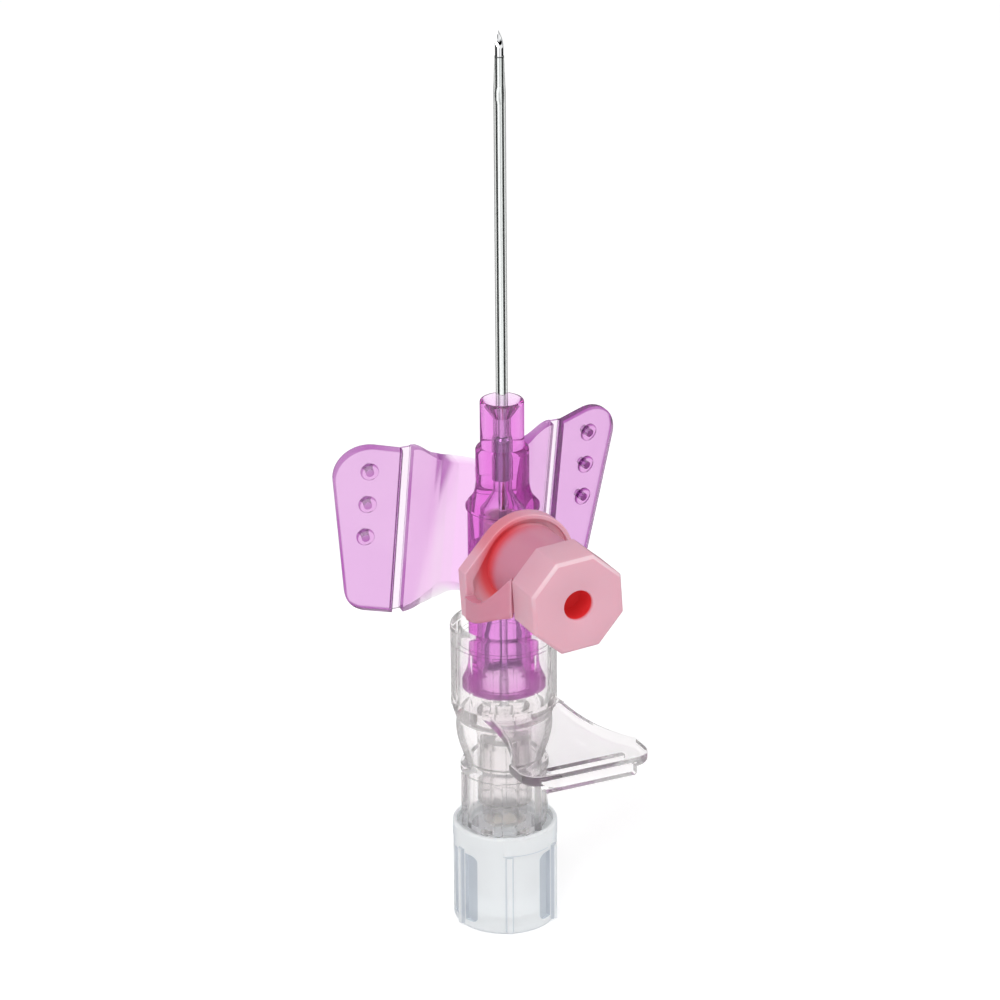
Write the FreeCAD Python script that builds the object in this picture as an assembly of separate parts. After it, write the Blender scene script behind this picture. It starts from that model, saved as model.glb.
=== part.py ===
# Winged intravenous cannula with an injection port, a safety clip and a stoppered flash chamber.
# It stands on its stopper: +Z runs along the needle to the point, -Y is the side of the port and the
# grip plate, and the wings lie along X. The origin is the middle of the stopper's flat base.
# All lengths are millimetres and all angles are degrees.

import FreeCAD, Part
import math
import os

os.makedirs("parts", exist_ok=True)

Vec = FreeCAD.Vector
ORIGIN = Vec(0, 0, 0)
AXIS_X = Vec(1, 0, 0)
AXIS_Y = Vec(0, 1, 0)
AXIS_Z = Vec(0, 0, 1)

# Clearances
BOND_GAP = 0.01         # between pieces that are glued or pressed together
SLIDE_GAP = 0.03        # between a taper and the socket that it slides out of
SWIVEL_GAP = 0.03       # between the cap's ring and the neck that it turns on
LOOSE_GAP = 0.15        # between faces that only lie near each other

# Six per cent conical fitting shared by every luer joint
LUER_MOUTH_R = 2.14     # socket radius at its mouth
LUER_SLOPE = 0.03       # loss of radius for each millimetre of depth

# Stopper
STOPPER_BODY_H = 8.5
STOPPER_COLLAR_H = 1.5
STOPPER_BODY_R = 4.9
STOPPER_COLLAR_R = 4.95
STOPPER_RIB_R = 5.33
STOPPER_RIB_W = 0.78
STOPPER_RIB_END = 0.35  # from each end of the body to the ribs
STOPPER_FLOOR = 1.2
STOPPER_CAVITY_R = 3.4
STOPPER_CONE_H = 6.8
STOPPER_CORE_R = 1.2
STOPPER_FLAT_DEPTH = 0.42
STOPPER_FLAT_END = 0.75 # from each end of the body to a flat
STOPPER_FLAT_CORNER_R = 0.8
STOPPER_TAB_DROP = 0.55
STOPPER_TAB_W = 4.6
STOPPER_TAB_PROUD = 0.12
RIBS = 6
STOPPER_RIB_TURN = 9.4
EDGE_R = 0.25           # rounding of outer moulded edges

# Flash plug, whose flange lies in the stopper's collar
FLANGE_R = 4.55
FLANGE_T = 0.9
FLANGE_BELOW_COLLAR = 0.1
PLUG_WALL_R = 3.95
PLUG_WALL_T = 0.6
PLUG_H = 6.1            # from the flange's top to the rim's top
PLUG_RIM_R = 4.15
PLUG_RIM_H = 0.7
PLUG_RIB_R = 4.35
PLUG_RIB_W = 0.85
PLUG_RIB_TURN = -4.0
PLUG_CONE_H = 5.6       # of the luer cone above the tail tube's mouth
PLUG_BORE_R = 1.2
SPIGOT_R = 3.2
SPIGOT_H = 6.0
SPIGOT_SOCKET_H = 5.6
FILTER_R = 1.7
FILTER_T = 0.25

# Needle hub
TAIL_MOUTH_ABOVE_FLANGE = 2.2
TAIL_R = 2.55
TAIL_SOCKET_H = 6.2
NECK_ABOVE_RIM = 0.35
NECK_END_R = 3.7
NECK_TOP_R = 4.45
NECK_H = 4.2
NECK_CURVE = ((4.4, 0.55), (4.12, 0.3), (3.95, 0.18))     # radius, share of the neck's height
NECK_WALL = 0.6
HUB_FLOOR_T = 1.7
SKIRT_R = 4.85
SKIRT_WALL = 0.7
SKIRT_H = 9.6           # from the skirt's bottom edge to the collar's top
SKIRT_FOOT_H = 1.25     # of the taper at the skirt's bottom
COLLAR_R = 5.0
COLLAR_H = 1.6
COLLAR_BORE_R = 4.02
SKIRT_RIB_COUNT = 14
SKIRT_RIB_W = 0.4
SKIRT_RIB_PROUD = 0.1
NOSE_GAP = 1.6          # from the needle hub's floor to the catheter hub's end face
NOSE_DEPTH = 1.7        # of the nose inside the catheter hub
FLASH_BORE_R = 0.9
NEEDLE_GLUE_H = 1.2     # needle length below the floor's top

# Grip plate of the needle hub
PLATE_T = 1.0
PLATE_ABOVE_FLOOR = 1.0
PLATE_REACH = 18.4      # from the axis to the far edge
PLATE_ROOT_HALF_W = 3.9
PLATE_END_HALF_W = 6.4
PLATE_CORNER_R = 1.9
PLATE_ROOT_R = 1.3      # concave flare between the plate and the skirt
PLATE_SLOT_L = 7.8
PLATE_SLOT_W = 0.7
PLATE_SLOT_DEPTH = 0.45
PLATE_SLOT_INSET = 1.15
PLATE_BAR_L = 9.2
PLATE_BAR_D = 1.3
PLATE_BAR_DROP = 0.75

# Needle
NEEDLE_R = 0.37
NEEDLE_BORE_R = 0.24
NEEDLE_L = 66.0         # from its glued end to the point
BEVEL_L = 1.6
LANCET_L = 0.8         # of the two side grinds at the point
LANCET_TURN = 32.0
CRIMP_BELOW_POINT = 5.9
CRIMP_L = 1.6
CRIMP_HALF_W = 0.425
CRIMP_HALF_T = 0.33

# Catheter tube and its ferrule
TUBE_R = 0.55
TUBE_WALL = 0.10
TUBE_FREE_L = 32.4      # from the hub's rim to the tube's tip
POINT_BEYOND_TIP = 2.35
TIP_TAPER_L = 3.4
TIP_BORE_L = 1.5
TIP_WALL = 0.035
TIP_GAP = 0.02
FERRULE_H = 4.4
FERRULE_WALL = 0.08
FERRULE_CONE_H = 0.5
FERRULE_STEP = 0.22     # growth of the tube over the ferrule
TUBE_ROOT_STEP = 0.06   # growth of the tube between its free length and the ferrule
TUBE_ROOT_GAP = 0.06    # round the tube in the hub's nose
TUBE_ROOT_ABOVE_RIM = 0.3

# Catheter hub
HUB_L = 28.45           # from its end face to the nose's rim
NOSE_R = 2.03
NOSE_MOUTH_R = 1.8
NOSE_MOUTH_DEPTH = 1.7
RING_R = 2.47
RING_TOP = 4.5          # below the rim
RING_H = 3.55
RING_TOP_EDGE_R = 0.4
BELL_R = 3.42
BELL_NECK_R = 2.42      # just under the ring
BELL_CURVE = ((2.58, 0.75), (2.78, 1.4), (3.2, 1.95))    # radius, depth below the ring
BELL_BOTTOM = 10.55     # below the rim
BELL_LIP_H = 0.3
BARREL_R = 3.25
LUG_R = 3.9
LUG_T = 0.75
LUG_FLARE_H = 2.2
LUG_CHAMFER = 0.15
FERRULE_BELOW_RIM = 3.3
HUB_LUER_L = 11.6       # depth of the socket behind the valve's seat
VALVE_L = 5.3
VALVE_WALL = 0.45
VALVE_SEAT_L = 5.8
HUB_CONE_H = 2.2
HUB_LUMEN_R = 0.7

# Port tower, whose axis crosses the hub's at a right angle
PORT_Z_ABOVE_END = 14.23
PORT_REACH = 11.0       # from the hub's axis to the port's mouth
PORT_R = 3.1
PORT_LIP_R = 3.28
PORT_LIP_H = 0.8
PORT_BOSS_R = 3.42
PORT_RING_SEAT = 3.75   # from the hub's axis to the boss's face
PORT_SOCKET_H = 6.0
PORT_LUMEN_R = 0.9

# Port cap: ring, strap and lid
CAP_RING_R = 4.75
CAP_RING_T = 1.5
CAP_RIM_W = 0.4
CAP_RECESS = 0.6        # depth of the ring's front behind its rim
CAP_RIM_GAP = 0.22      # from the rim to the lid's skirt
CAP_SKIRT_GAP = 0.06    # from the skirt to the tower's lip
CAP_SKIRT_OFF_RING = 0.05
HEAD_ACROSS_FLATS = 8.9
HEAD_T = 4.35
HEAD_CHAMFER = 0.28
HEAD_EDGE_R = 0.1
HEAD_TURN = 3.8
HEAD_HOLE_R = 1.4
HEAD_HOLE_DEPTH = 2.6
HEAD_HOLE_EDGE_R = 0.18
CAP_END_T = 0.5         # of the lid behind the tower's mouth
CAP_PLUG_L = 4.2
EAR_X = 6.3             # from the port's axis to the ear's edge
EAR_RIM_W = 0.8         # at the ear's left edge
EAR_TOP = 0.1           # above the port's axis
EAR_BOTTOM = 4.45       # below the port's axis
STRAP_T = 0.9
STRAP_END_T = 0.4       # at the head
STRAP_OFF_HEAD = 0.15
STRAP_PATH = ((-6.3, 0.0), (-6.28, 0.22), (-6.05, 0.5), (-5.4, 0.8))    # x, share of the way to the head
STRAP_SIDES = ((0.0, -4.3, -2.0), (0.25, -4.1, -2.0), (0.5, -3.5, -1.5), (0.8, -2.6, 0.2), (1.0, -2.1, 1.8))

# Safety clip
CLIP_T = 0.13
CLIP_HALF_W = 1.72
CLIP_BASE_DEPTH = 1.7
CLIP_ARM_W = 0.9
CLIP_TIP_W = 0.6
CLIP_H = 9.3
CLIP_BEND_R = 0.3
CLIP_HOLE_R = 0.4
CLIP_ABOVE_NOSE = 0.3
CLIP_WIDE_H = 3.4
CLIP_HEAD_H = 1.6
CLIP_HEAD_OUT = 0.75

# Wings
WING_TILT = 10.5        # the wings' top leans to the port's side
WING_Z_ABOVE_END = 17.1
WING_T = 1.0
WING_FRONT = 4.91       # from the wing frame's origin to the inner panel's front face
PANEL_EDGE_X = 7.1
GROOVE_W = 0.9
FILM_T = 0.22
FILM_FROM_BACK = 0.1
HINGE_GAP = 0.05
FLAP_REST = 13.0        # the flaps are bent back at rest
FLAP_TOP = 5.45         # above the wing frame's origin, at the hinge
FLAP_BOTTOM = 12.3      # below the wing frame's origin, at the hinge
FLAP_TOP_CORNER = (14.9, 6.7)
FLAP_LOW_CORNER = (12.35, -11.6)
FLAP_TOP_CORNER_R = 3.2
FLAP_LOW_CORNER_R = 2.4
FLAP_EDGE_R = 0.3
HOLE_X = 11.03
HOLE_PITCH = 3.53
HOLE_R = 0.38
HOLE_RIM_R = 0.85
HOLE_RIM_PROUD = 0.35
HOLE_RIM_EDGE_R = 0.2
WEB_ROOT = (1.1, -0.5)
WEB_KNEE = (4.35, 4.5)
PANEL_ROOT_TOP = 5.3
PANEL_ROOT_LOW = -8.6
PANEL_TOP = ((1.4, 5.05), (2.9, 4.55), (4.2, 4.05), (5.2, 4.45), (6.2, 5.2))
PANEL_LOW = ((6.2, -12.15), (5.2, -11.7), (4.2, -10.9), (3.4, -9.6), (2.2, -8.8))

# Levels along Z, stacked from the base
COLLAR_TOP_Z = STOPPER_BODY_H + STOPPER_COLLAR_H
FLANGE_TOP_Z = COLLAR_TOP_Z - FLANGE_BELOW_COLLAR
FLANGE_Z = FLANGE_TOP_Z - FLANGE_T
RIM_TOP_Z = FLANGE_TOP_Z + PLUG_H
TAIL_Z = FLANGE_TOP_Z + TAIL_MOUTH_ABOVE_FLANGE
NECK_Z = RIM_TOP_Z + NECK_ABOVE_RIM
SKIRT_Z = NECK_Z + NECK_H
FLOOR_Z = SKIRT_Z + HUB_FLOOR_T
SKIRT_TOP_Z = SKIRT_Z + SKIRT_H
HUB_Z = FLOOR_Z + NOSE_GAP
NOSE_TIP_Z = HUB_Z + NOSE_DEPTH
RIM_Z = HUB_Z + HUB_L
PORT_Z = HUB_Z + PORT_Z_ABOVE_END
WING_Z = HUB_Z + WING_Z_ABOVE_END
CLIP_Z = NOSE_TIP_Z + CLIP_ABOVE_NOSE
VALVE_Z = HUB_Z + HUB_LUER_L
FERRULE_TOP_Z = RIM_Z - FERRULE_BELOW_RIM
FERRULE_Z = FERRULE_TOP_Z - FERRULE_H
TUBE_TIP_Z = RIM_Z + TUBE_FREE_L
POINT_Z = TUBE_TIP_Z + POINT_BEYOND_TIP
NEEDLE_END_Z = FLOOR_Z - NEEDLE_GLUE_H

# Radii that follow from the fittings
TUBE_BORE_R = TUBE_R - TUBE_WALL
SEAT_R = TUBE_R + FERRULE_STEP
HUB_SEAT_R = LUER_MOUTH_R - LUER_SLOPE * HUB_LUER_L
HINGE_X = PANEL_EDGE_X + GROOVE_W
HINGE_N = WING_FRONT + WING_T - FILM_FROM_BACK - FILM_T / 2
RING_FRONT_Y = -(PORT_RING_SEAT + CAP_RING_T)
RING_FLOOR_Y = RING_FRONT_Y + CAP_RECESS
CAP_SKIRT_R = CAP_RING_R - CAP_RIM_W - CAP_RIM_GAP
PORT_MOUTH_Y = -PORT_REACH
HEAD_BACK_Y = PORT_MOUTH_Y - CAP_END_T
HEAD_FRONT_Y = HEAD_BACK_Y - HEAD_T


def ring_profile(points):
    """Solid of revolution about Z from a closed outline of (radius, height) points."""
    outline = [Vec(r, 0, z) for r, z in points]
    outline.append(outline[0])
    face = Part.Face(Part.makePolygon(outline))
    return face.revolve(ORIGIN, AXIS_Z, 360)


def cylinder(radius, low, high):
    """Upright cylinder on the axis between two heights."""
    return Part.makeCylinder(radius, high - low, Vec(0, 0, low), AXIS_Z)


def cone(low_radius, high_radius, low, high):
    """Upright cone on the axis between two heights."""
    return Part.makeCone(low_radius, high_radius, high - low, Vec(0, 0, low), AXIS_Z)


def port_cylinder(radius, start, end):
    """Cylinder on the port's axis between two distances from the hub's axis."""
    return Part.makeCylinder(radius, end - start, Vec(0, -start, PORT_Z), Vec(0, -1, 0))


def port_cone(start_radius, end_radius, start, end):
    """Cone on the port's axis between two distances from the hub's axis."""
    return Part.makeCone(start_radius, end_radius, end - start, Vec(0, -start, PORT_Z), Vec(0, -1, 0))


def round_edges(shape, radius, wanted):
    """Fillet the edges for which the test holds."""
    edges = [edge for edge in shape.Edges if wanted(edge)]
    return shape.makeFillet(radius, edges)


def rim_test(radius, height):
    """Test for a full circle on the axis with a given radius and height."""
    def wanted(edge):
        curve = edge.Curve
        if not isinstance(curve, Part.Circle):
            return False
        same_radius = abs(curve.Radius - radius) < 1e-4
        same_height = abs(curve.Center.z - height) < 1e-4
        return same_radius and same_height
    return wanted


def spokes(rib, count, turn):
    """Copies of a rib turned evenly about the axis."""
    copies = []
    for index in range(count):
        copy = rib.copy()
        copy.rotate(ORIGIN, AXIS_Z, turn + index * 360.0 / count)
        copies.append(copy)
    return copies


def rounded_rib(outer_radius, width, low, high):
    """Upright rib along +X, from the axis to its rounded outer edge."""
    bar = Part.makeBox(outer_radius - width / 2, width, high - low, Vec(0, -width / 2, low))
    nose = Part.makeCylinder(width / 2, high - low, Vec(outer_radius - width / 2, 0, low), AXIS_Z)
    return bar.fuse(nose)


def luer_socket(mouth_z, depth, up):
    """Conical cutter for a socket that opens at mouth_z and narrows upwards or downwards."""
    end_radius = LUER_MOUTH_R - LUER_SLOPE * depth
    if up:
        return cone(LUER_MOUTH_R, end_radius, mouth_z, mouth_z + depth)
    return cone(end_radius, LUER_MOUTH_R, mouth_z - depth, mouth_z)


def luer_plug(mouth_z, low, high):
    """Cone that fits an upward socket with its mouth at mouth_z, between two heights."""
    low_radius = LUER_MOUTH_R - SLIDE_GAP - LUER_SLOPE * max(0.0, low - mouth_z)
    high_radius = LUER_MOUTH_R - SLIDE_GAP - LUER_SLOPE * (high - mouth_z)
    if low >= mouth_z:
        return cone(low_radius, high_radius, low, high)
    return cylinder(low_radius, low, mouth_z).fuse(cone(low_radius, high_radius, mouth_z, high))


def stopper_flat():
    """Cutter for one flat of the stopper, with rounded corners, facing +X."""
    apothem = STOPPER_BODY_R - STOPPER_FLAT_DEPTH
    half_w = math.sqrt(STOPPER_BODY_R ** 2 - apothem ** 2)
    height = STOPPER_BODY_H - 2 * STOPPER_FLAT_END
    cutter = Part.makeBox(STOPPER_RIB_R, 2 * half_w, height, Vec(apothem, -half_w, STOPPER_FLAT_END))
    return round_edges(cutter, STOPPER_FLAT_CORNER_R, lambda edge: edge.BoundBox.XLength > STOPPER_RIB_R / 2)


def make_stopper():
    """Frosted stopper: ribbed cup, collar and luer cone, closed by a flat base."""
    body = ring_profile([
        (0, 0), (STOPPER_BODY_R, 0), (STOPPER_BODY_R, STOPPER_BODY_H),
        (STOPPER_COLLAR_R, STOPPER_BODY_H), (STOPPER_COLLAR_R, COLLAR_TOP_Z), (0, COLLAR_TOP_Z)])
    body = round_edges(body, EDGE_R, rim_test(STOPPER_BODY_R, 0))
    body = round_edges(body, EDGE_R, rim_test(STOPPER_COLLAR_R, COLLAR_TOP_Z))
    body = body.cut(spokes(stopper_flat(), RIBS // 2, STOPPER_RIB_TURN + 360.0 / RIBS))
    rib = rounded_rib(STOPPER_RIB_R, STOPPER_RIB_W, STOPPER_RIB_END, STOPPER_BODY_H - STOPPER_RIB_END)
    body = body.fuse(spokes(rib, RIBS, STOPPER_RIB_TURN))
    tab = cylinder(STOPPER_COLLAR_R + STOPPER_TAB_PROUD, STOPPER_BODY_H - STOPPER_TAB_DROP / 2, FLANGE_TOP_Z)
    window = Part.makeBox(STOPPER_TAB_W, STOPPER_COLLAR_R + STOPPER_BODY_R, STOPPER_BODY_H * 2,
                          Vec(-STOPPER_TAB_W / 2, -STOPPER_COLLAR_R - STOPPER_BODY_R, 0))
    body = body.fuse(tab.common(window))
    cavity = cylinder(STOPPER_CAVITY_R, STOPPER_FLOOR, FLANGE_Z)
    flange_seat = cylinder(FLANGE_R + SLIDE_GAP, FLANGE_Z, COLLAR_TOP_Z)
    body = body.cut(cavity.fuse(flange_seat))
    spigot_mouth_z = FLANGE_Z - SPIGOT_H
    plug = luer_plug(spigot_mouth_z, STOPPER_FLOOR - LOOSE_GAP, STOPPER_FLOOR + STOPPER_CONE_H)
    plug = plug.cut(cylinder(STOPPER_CORE_R, STOPPER_FLOOR, STOPPER_FLOOR + STOPPER_CONE_H))
    return body.fuse(plug).removeSplitter()


def make_flash_plug():
    """Clear chamber plug: ribbed collar, luer cone upwards, spigot with a socket downwards."""
    body = ring_profile([
        (0, FLANGE_Z), (FLANGE_R, FLANGE_Z), (FLANGE_R, FLANGE_TOP_Z), (PLUG_WALL_R, FLANGE_TOP_Z),
        (PLUG_WALL_R, RIM_TOP_Z - PLUG_RIM_H), (PLUG_RIM_R, RIM_TOP_Z - PLUG_RIM_H),
        (PLUG_RIM_R, RIM_TOP_Z), (PLUG_WALL_R - PLUG_WALL_T, RIM_TOP_Z),
        (PLUG_WALL_R - PLUG_WALL_T, FLANGE_TOP_Z + LOOSE_GAP), (0, FLANGE_TOP_Z + LOOSE_GAP)])
    body = round_edges(body, EDGE_R, rim_test(PLUG_RIM_R, RIM_TOP_Z))
    rib = rounded_rib(PLUG_RIB_R, PLUG_RIB_W, FLANGE_TOP_Z, RIM_TOP_Z - PLUG_RIM_H)
    hollow = cylinder(PLUG_WALL_R - PLUG_WALL_T / 2, FLANGE_TOP_Z, RIM_TOP_Z)
    ribs = [one.cut(hollow) for one in spokes(rib, RIBS, PLUG_RIB_TURN)]
    body = body.fuse(ribs)
    body = body.fuse(luer_plug(TAIL_Z, FLANGE_TOP_Z, TAIL_Z + PLUG_CONE_H))
    body = body.fuse(cylinder(SPIGOT_R, FLANGE_Z - SPIGOT_H, FLANGE_TOP_Z))
    socket = luer_socket(FLANGE_Z - SPIGOT_H, SPIGOT_SOCKET_H, True)
    filter_seat = cylinder(FILTER_R + BOND_GAP, FLANGE_TOP_Z - FILTER_T - BOND_GAP, FLANGE_TOP_Z)
    passage = cylinder(PLUG_BORE_R, FLANGE_Z - SPIGOT_H, TAIL_Z + PLUG_CONE_H)
    return body.cut(socket.fuse([filter_seat, passage])).removeSplitter()


def make_vent_filter():
    """Thin membrane disc in the flash plug's floor."""
    return cylinder(FILTER_R, FLANGE_TOP_Z - FILTER_T, FLANGE_TOP_Z - BOND_GAP)


def grip_plate():
    """Flat waisted plate with a groove on its top and a rounded bar under its far edge."""
    top_z = FLOOR_Z + PLATE_ABOVE_FLOOR
    low_z = top_z - PLATE_T
    waist_y = -(SKIRT_R + PLATE_REACH) / 2
    far_y = -PLATE_REACH
    root_y = -SKIRT_R + 2 * SKIRT_WALL
    corner_y = far_y + 2 * PLATE_CORNER_R
    mean_half_w = (PLATE_ROOT_HALF_W + PLATE_END_HALF_W) / 2
    edges = []
    for sign in (1, -1):
        side = Part.BSplineCurve()
        side.interpolate([
            Vec(sign * PLATE_ROOT_HALF_W, root_y, low_z), Vec(sign * PLATE_ROOT_HALF_W, root_y - SKIRT_R / 2, low_z),
            Vec(sign * mean_half_w, waist_y - SKIRT_WALL, low_z), Vec(sign * PLATE_END_HALF_W, corner_y, low_z)])
        edges.append(side.toShape())
        edges.append(Part.makeLine(Vec(sign * PLATE_END_HALF_W, corner_y, low_z), Vec(sign * PLATE_END_HALF_W, far_y, low_z)))
    edges.append(Part.makeLine(Vec(PLATE_END_HALF_W, far_y, low_z), Vec(-PLATE_END_HALF_W, far_y, low_z)))
    edges.append(Part.makeLine(Vec(-PLATE_ROOT_HALF_W, root_y, low_z), Vec(PLATE_ROOT_HALF_W, root_y, low_z)))
    plate = Part.Face(Part.Wire(Part.__sortEdges__(edges))).extrude(Vec(0, 0, PLATE_T))

    def is_corner(edge):
        box = edge.BoundBox
        return box.ZLength > PLATE_T / 2 and abs(box.YMin - far_y) < 1e-4 and box.YLength < 1e-4
    plate = round_edges(plate, PLATE_CORNER_R, is_corner)

    def is_outline(edge):
        box = edge.BoundBox
        return box.ZLength < 1e-4 and box.YMin < root_y - 1e-3
    plate = round_edges(plate, EDGE_R, is_outline)
    slot = Part.makeBox(PLATE_SLOT_L, PLATE_SLOT_W, PLATE_SLOT_DEPTH,
                        Vec(-PLATE_SLOT_L / 2, far_y + PLATE_SLOT_INSET - PLATE_SLOT_W / 2, top_z - PLATE_SLOT_DEPTH))
    slot = round_edges(slot, PLATE_SLOT_W * 0.45, lambda edge: edge.BoundBox.ZLength > PLATE_SLOT_DEPTH / 2)
    bar = Part.makeBox(PLATE_BAR_L, PLATE_BAR_D, PLATE_T / 2 + PLATE_BAR_DROP,
                       Vec(-PLATE_BAR_L / 2, far_y - LOOSE_GAP, low_z - PLATE_BAR_DROP))
    bar = round_edges(bar, EDGE_R, lambda edge: edge.BoundBox.ZMin < low_z - PLATE_BAR_DROP + 1e-4)
    return plate.fuse(bar).cut(slot)


def make_needle_hub():
    """Clear needle hub: skirt with collar, floor, nose, grip plate, neck and tail tube."""
    outside = [Vec(r, 0, NECK_Z + share * NECK_H) for r, share in ((NECK_TOP_R, 1.0), *NECK_CURVE, (NECK_END_R, 0.0))]
    inside = [Vec(point.x - NECK_WALL, 0, point.z) for point in outside]
    corners = [Vec(r, 0, z) for r, z in (
        (0, SKIRT_Z), (0, FLOOR_Z), (SKIRT_R - SKIRT_WALL, FLOOR_Z), (SKIRT_R - SKIRT_WALL, SKIRT_TOP_Z - COLLAR_H),
        (COLLAR_BORE_R, SKIRT_TOP_Z - COLLAR_H), (COLLAR_BORE_R, SKIRT_TOP_Z), (COLLAR_R, SKIRT_TOP_Z),
        (COLLAR_R, SKIRT_TOP_Z - COLLAR_H), (SKIRT_R, SKIRT_TOP_Z - COLLAR_H), (SKIRT_R, SKIRT_Z + SKIRT_FOOT_H),
        (NECK_TOP_R, SKIRT_Z))]
    edges = [Part.makeLine(a, b) for a, b in zip(corners[:-1], corners[1:])]
    edges.append(curve_through(outside))
    edges.append(Part.makeLine(outside[-1], inside[-1]))
    edges.append(curve_through(inside))
    edges.append(Part.makeLine(inside[0], corners[0]))
    outer = closed_face(edges).revolve(ORIGIN, AXIS_Z, 360)
    outer = round_edges(outer, SKIRT_FOOT_H / 2, rim_test(SKIRT_R, SKIRT_Z + SKIRT_FOOT_H))
    outer = round_edges(outer, EDGE_R, rim_test(COLLAR_R, SKIRT_TOP_Z))
    rib = rounded_rib(SKIRT_R + SKIRT_RIB_PROUD, SKIRT_RIB_W, SKIRT_Z + SKIRT_FOOT_H, SKIRT_TOP_Z - COLLAR_H)
    hollow = cylinder(SKIRT_R - SKIRT_WALL / 2, SKIRT_Z, SKIRT_TOP_Z)
    ribs = [one.cut(hollow) for one in spokes(rib, SKIRT_RIB_COUNT, 0)]
    plate = grip_plate().cut(cylinder(SKIRT_R - SKIRT_WALL / 2, SKIRT_Z, SKIRT_TOP_Z))
    body = outer.fuse(ribs + [plate, plate_root()])
    nose = luer_plug(HUB_Z, FLOOR_Z - LOOSE_GAP, NOSE_TIP_Z)
    nose = round_edges(nose, EDGE_R, rim_test(LUER_MOUTH_R - SLIDE_GAP - LUER_SLOPE * NOSE_DEPTH, NOSE_TIP_Z))
    tail = cylinder(TAIL_R, TAIL_Z, SKIRT_Z + LOOSE_GAP)
    tail = tail.cut(luer_socket(TAIL_Z, TAIL_SOCKET_H, True))
    body = body.fuse([nose, tail])
    flash_bore = cylinder(FLASH_BORE_R, TAIL_Z + TAIL_SOCKET_H / 2, NEEDLE_END_Z)
    needle_bore = cylinder(NEEDLE_R + BOND_GAP, NEEDLE_END_Z - LOOSE_GAP, NOSE_TIP_Z)
    return body.cut(flash_bore.fuse(needle_bore)).removeSplitter()


def plate_root():
    """Concave flare between the grip plate's top and the skirt, over the plate's width."""
    top_z = FLOOR_Z + PLATE_ABOVE_FLOOR
    inner_r = SKIRT_R - SKIRT_WALL / 2
    centre = (SKIRT_R + PLATE_ROOT_R, top_z + PLATE_ROOT_R)
    middle = (centre[0] - PLATE_ROOT_R * math.sqrt(0.5), centre[1] - PLATE_ROOT_R * math.sqrt(0.5))
    arc = Part.Arc(Vec(SKIRT_R, 0, centre[1]), Vec(middle[0], 0, middle[1]), Vec(centre[0], 0, top_z)).toShape()
    points = [
        Vec(centre[0], 0, top_z), Vec(centre[0], 0, top_z - PLATE_T / 2), Vec(inner_r, 0, top_z - PLATE_T / 2),
        Vec(inner_r, 0, centre[1]), Vec(SKIRT_R, 0, centre[1])]
    edges = [arc] + [Part.makeLine(a, b) for a, b in zip(points[:-1], points[1:])]
    half_angle = math.degrees(math.asin(PLATE_ROOT_HALF_W / (SKIRT_R + PLATE_ROOT_R)))
    flare = closed_face(edges).revolve(ORIGIN, AXIS_Z, 2 * half_angle)
    flare.rotate(ORIGIN, AXIS_Z, -90 - half_angle)
    return flare


def needle_grind(length, depth, turn):
    """Wedge cut off the point: it starts at the back of the tip and takes the depth over the length."""
    side = 4 * NEEDLE_R
    far_y = NEEDLE_R - depth - side * depth
    outline = [
        Vec(-side, NEEDLE_R, POINT_Z), Vec(-side, far_y, POINT_Z - length * (1 + side)),
        Vec(-side, far_y, POINT_Z + side), Vec(-side, NEEDLE_R, POINT_Z + side), Vec(-side, NEEDLE_R, POINT_Z)]
    wedge = Part.Face(Part.makePolygon(outline)).extrude(Vec(2 * side, 0, 0))
    wedge.rotate(Vec(0, NEEDLE_R, POINT_Z), AXIS_Z, turn)
    return wedge


def make_needle():
    """Steel tube with a bevelled point and a flattened crimp below it."""
    shaft = cylinder(NEEDLE_R, NEEDLE_END_Z, POINT_Z)
    crimp_z = POINT_Z - CRIMP_BELOW_POINT
    sections = []
    for step, (wide, thick) in enumerate([(NEEDLE_R, NEEDLE_R), (CRIMP_HALF_W, CRIMP_HALF_T), (NEEDLE_R, NEEDLE_R)]):
        height = crimp_z + (step - 1) * CRIMP_L / 2
        if wide > thick:
            curve = Part.Ellipse(Vec(0, 0, height), wide, thick)
        else:
            curve = Part.Circle(Vec(0, 0, height), AXIS_Z, wide)
        sections.append(Part.Wire(curve.toShape()))
    low = cylinder(NEEDLE_R, NEEDLE_END_Z, crimp_z - CRIMP_L / 2)
    high = cylinder(NEEDLE_R, crimp_z + CRIMP_L / 2, POINT_Z)
    shaft = low.fuse([Part.makeLoft(sections, True, False), high])
    shaft = shaft.cut(cylinder(NEEDLE_BORE_R, NEEDLE_END_Z, POINT_Z))
    grinds = [needle_grind(BEVEL_L, 2 * NEEDLE_R, 0)]
    for turn in (LANCET_TURN, -LANCET_TURN):
        grinds.append(needle_grind(LANCET_L, NEEDLE_R, turn))
    return shaft.cut(grinds).removeSplitter()


def make_catheter_tube():
    """Soft tube: flared over the ferrule at its foot, tapered to the needle at its tip."""
    tip_bore = NEEDLE_R + TIP_GAP
    seat_low = FERRULE_Z + BOND_GAP
    cone_z = FERRULE_TOP_Z - FERRULE_CONE_H
    return ring_profile([
        (SEAT_R, seat_low), (SEAT_R, cone_z), (TUBE_R + TUBE_ROOT_STEP, FERRULE_TOP_Z),
        (TUBE_R, RIM_Z + TUBE_ROOT_ABOVE_RIM), (TUBE_R, TUBE_TIP_Z - TIP_TAPER_L),
        (tip_bore + TIP_WALL, TUBE_TIP_Z), (tip_bore, TUBE_TIP_Z), (TUBE_BORE_R, TUBE_TIP_Z - TIP_BORE_L),
        (TUBE_BORE_R, FERRULE_TOP_Z), (SEAT_R - TUBE_WALL, cone_z), (SEAT_R - TUBE_WALL, seat_low)])


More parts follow.
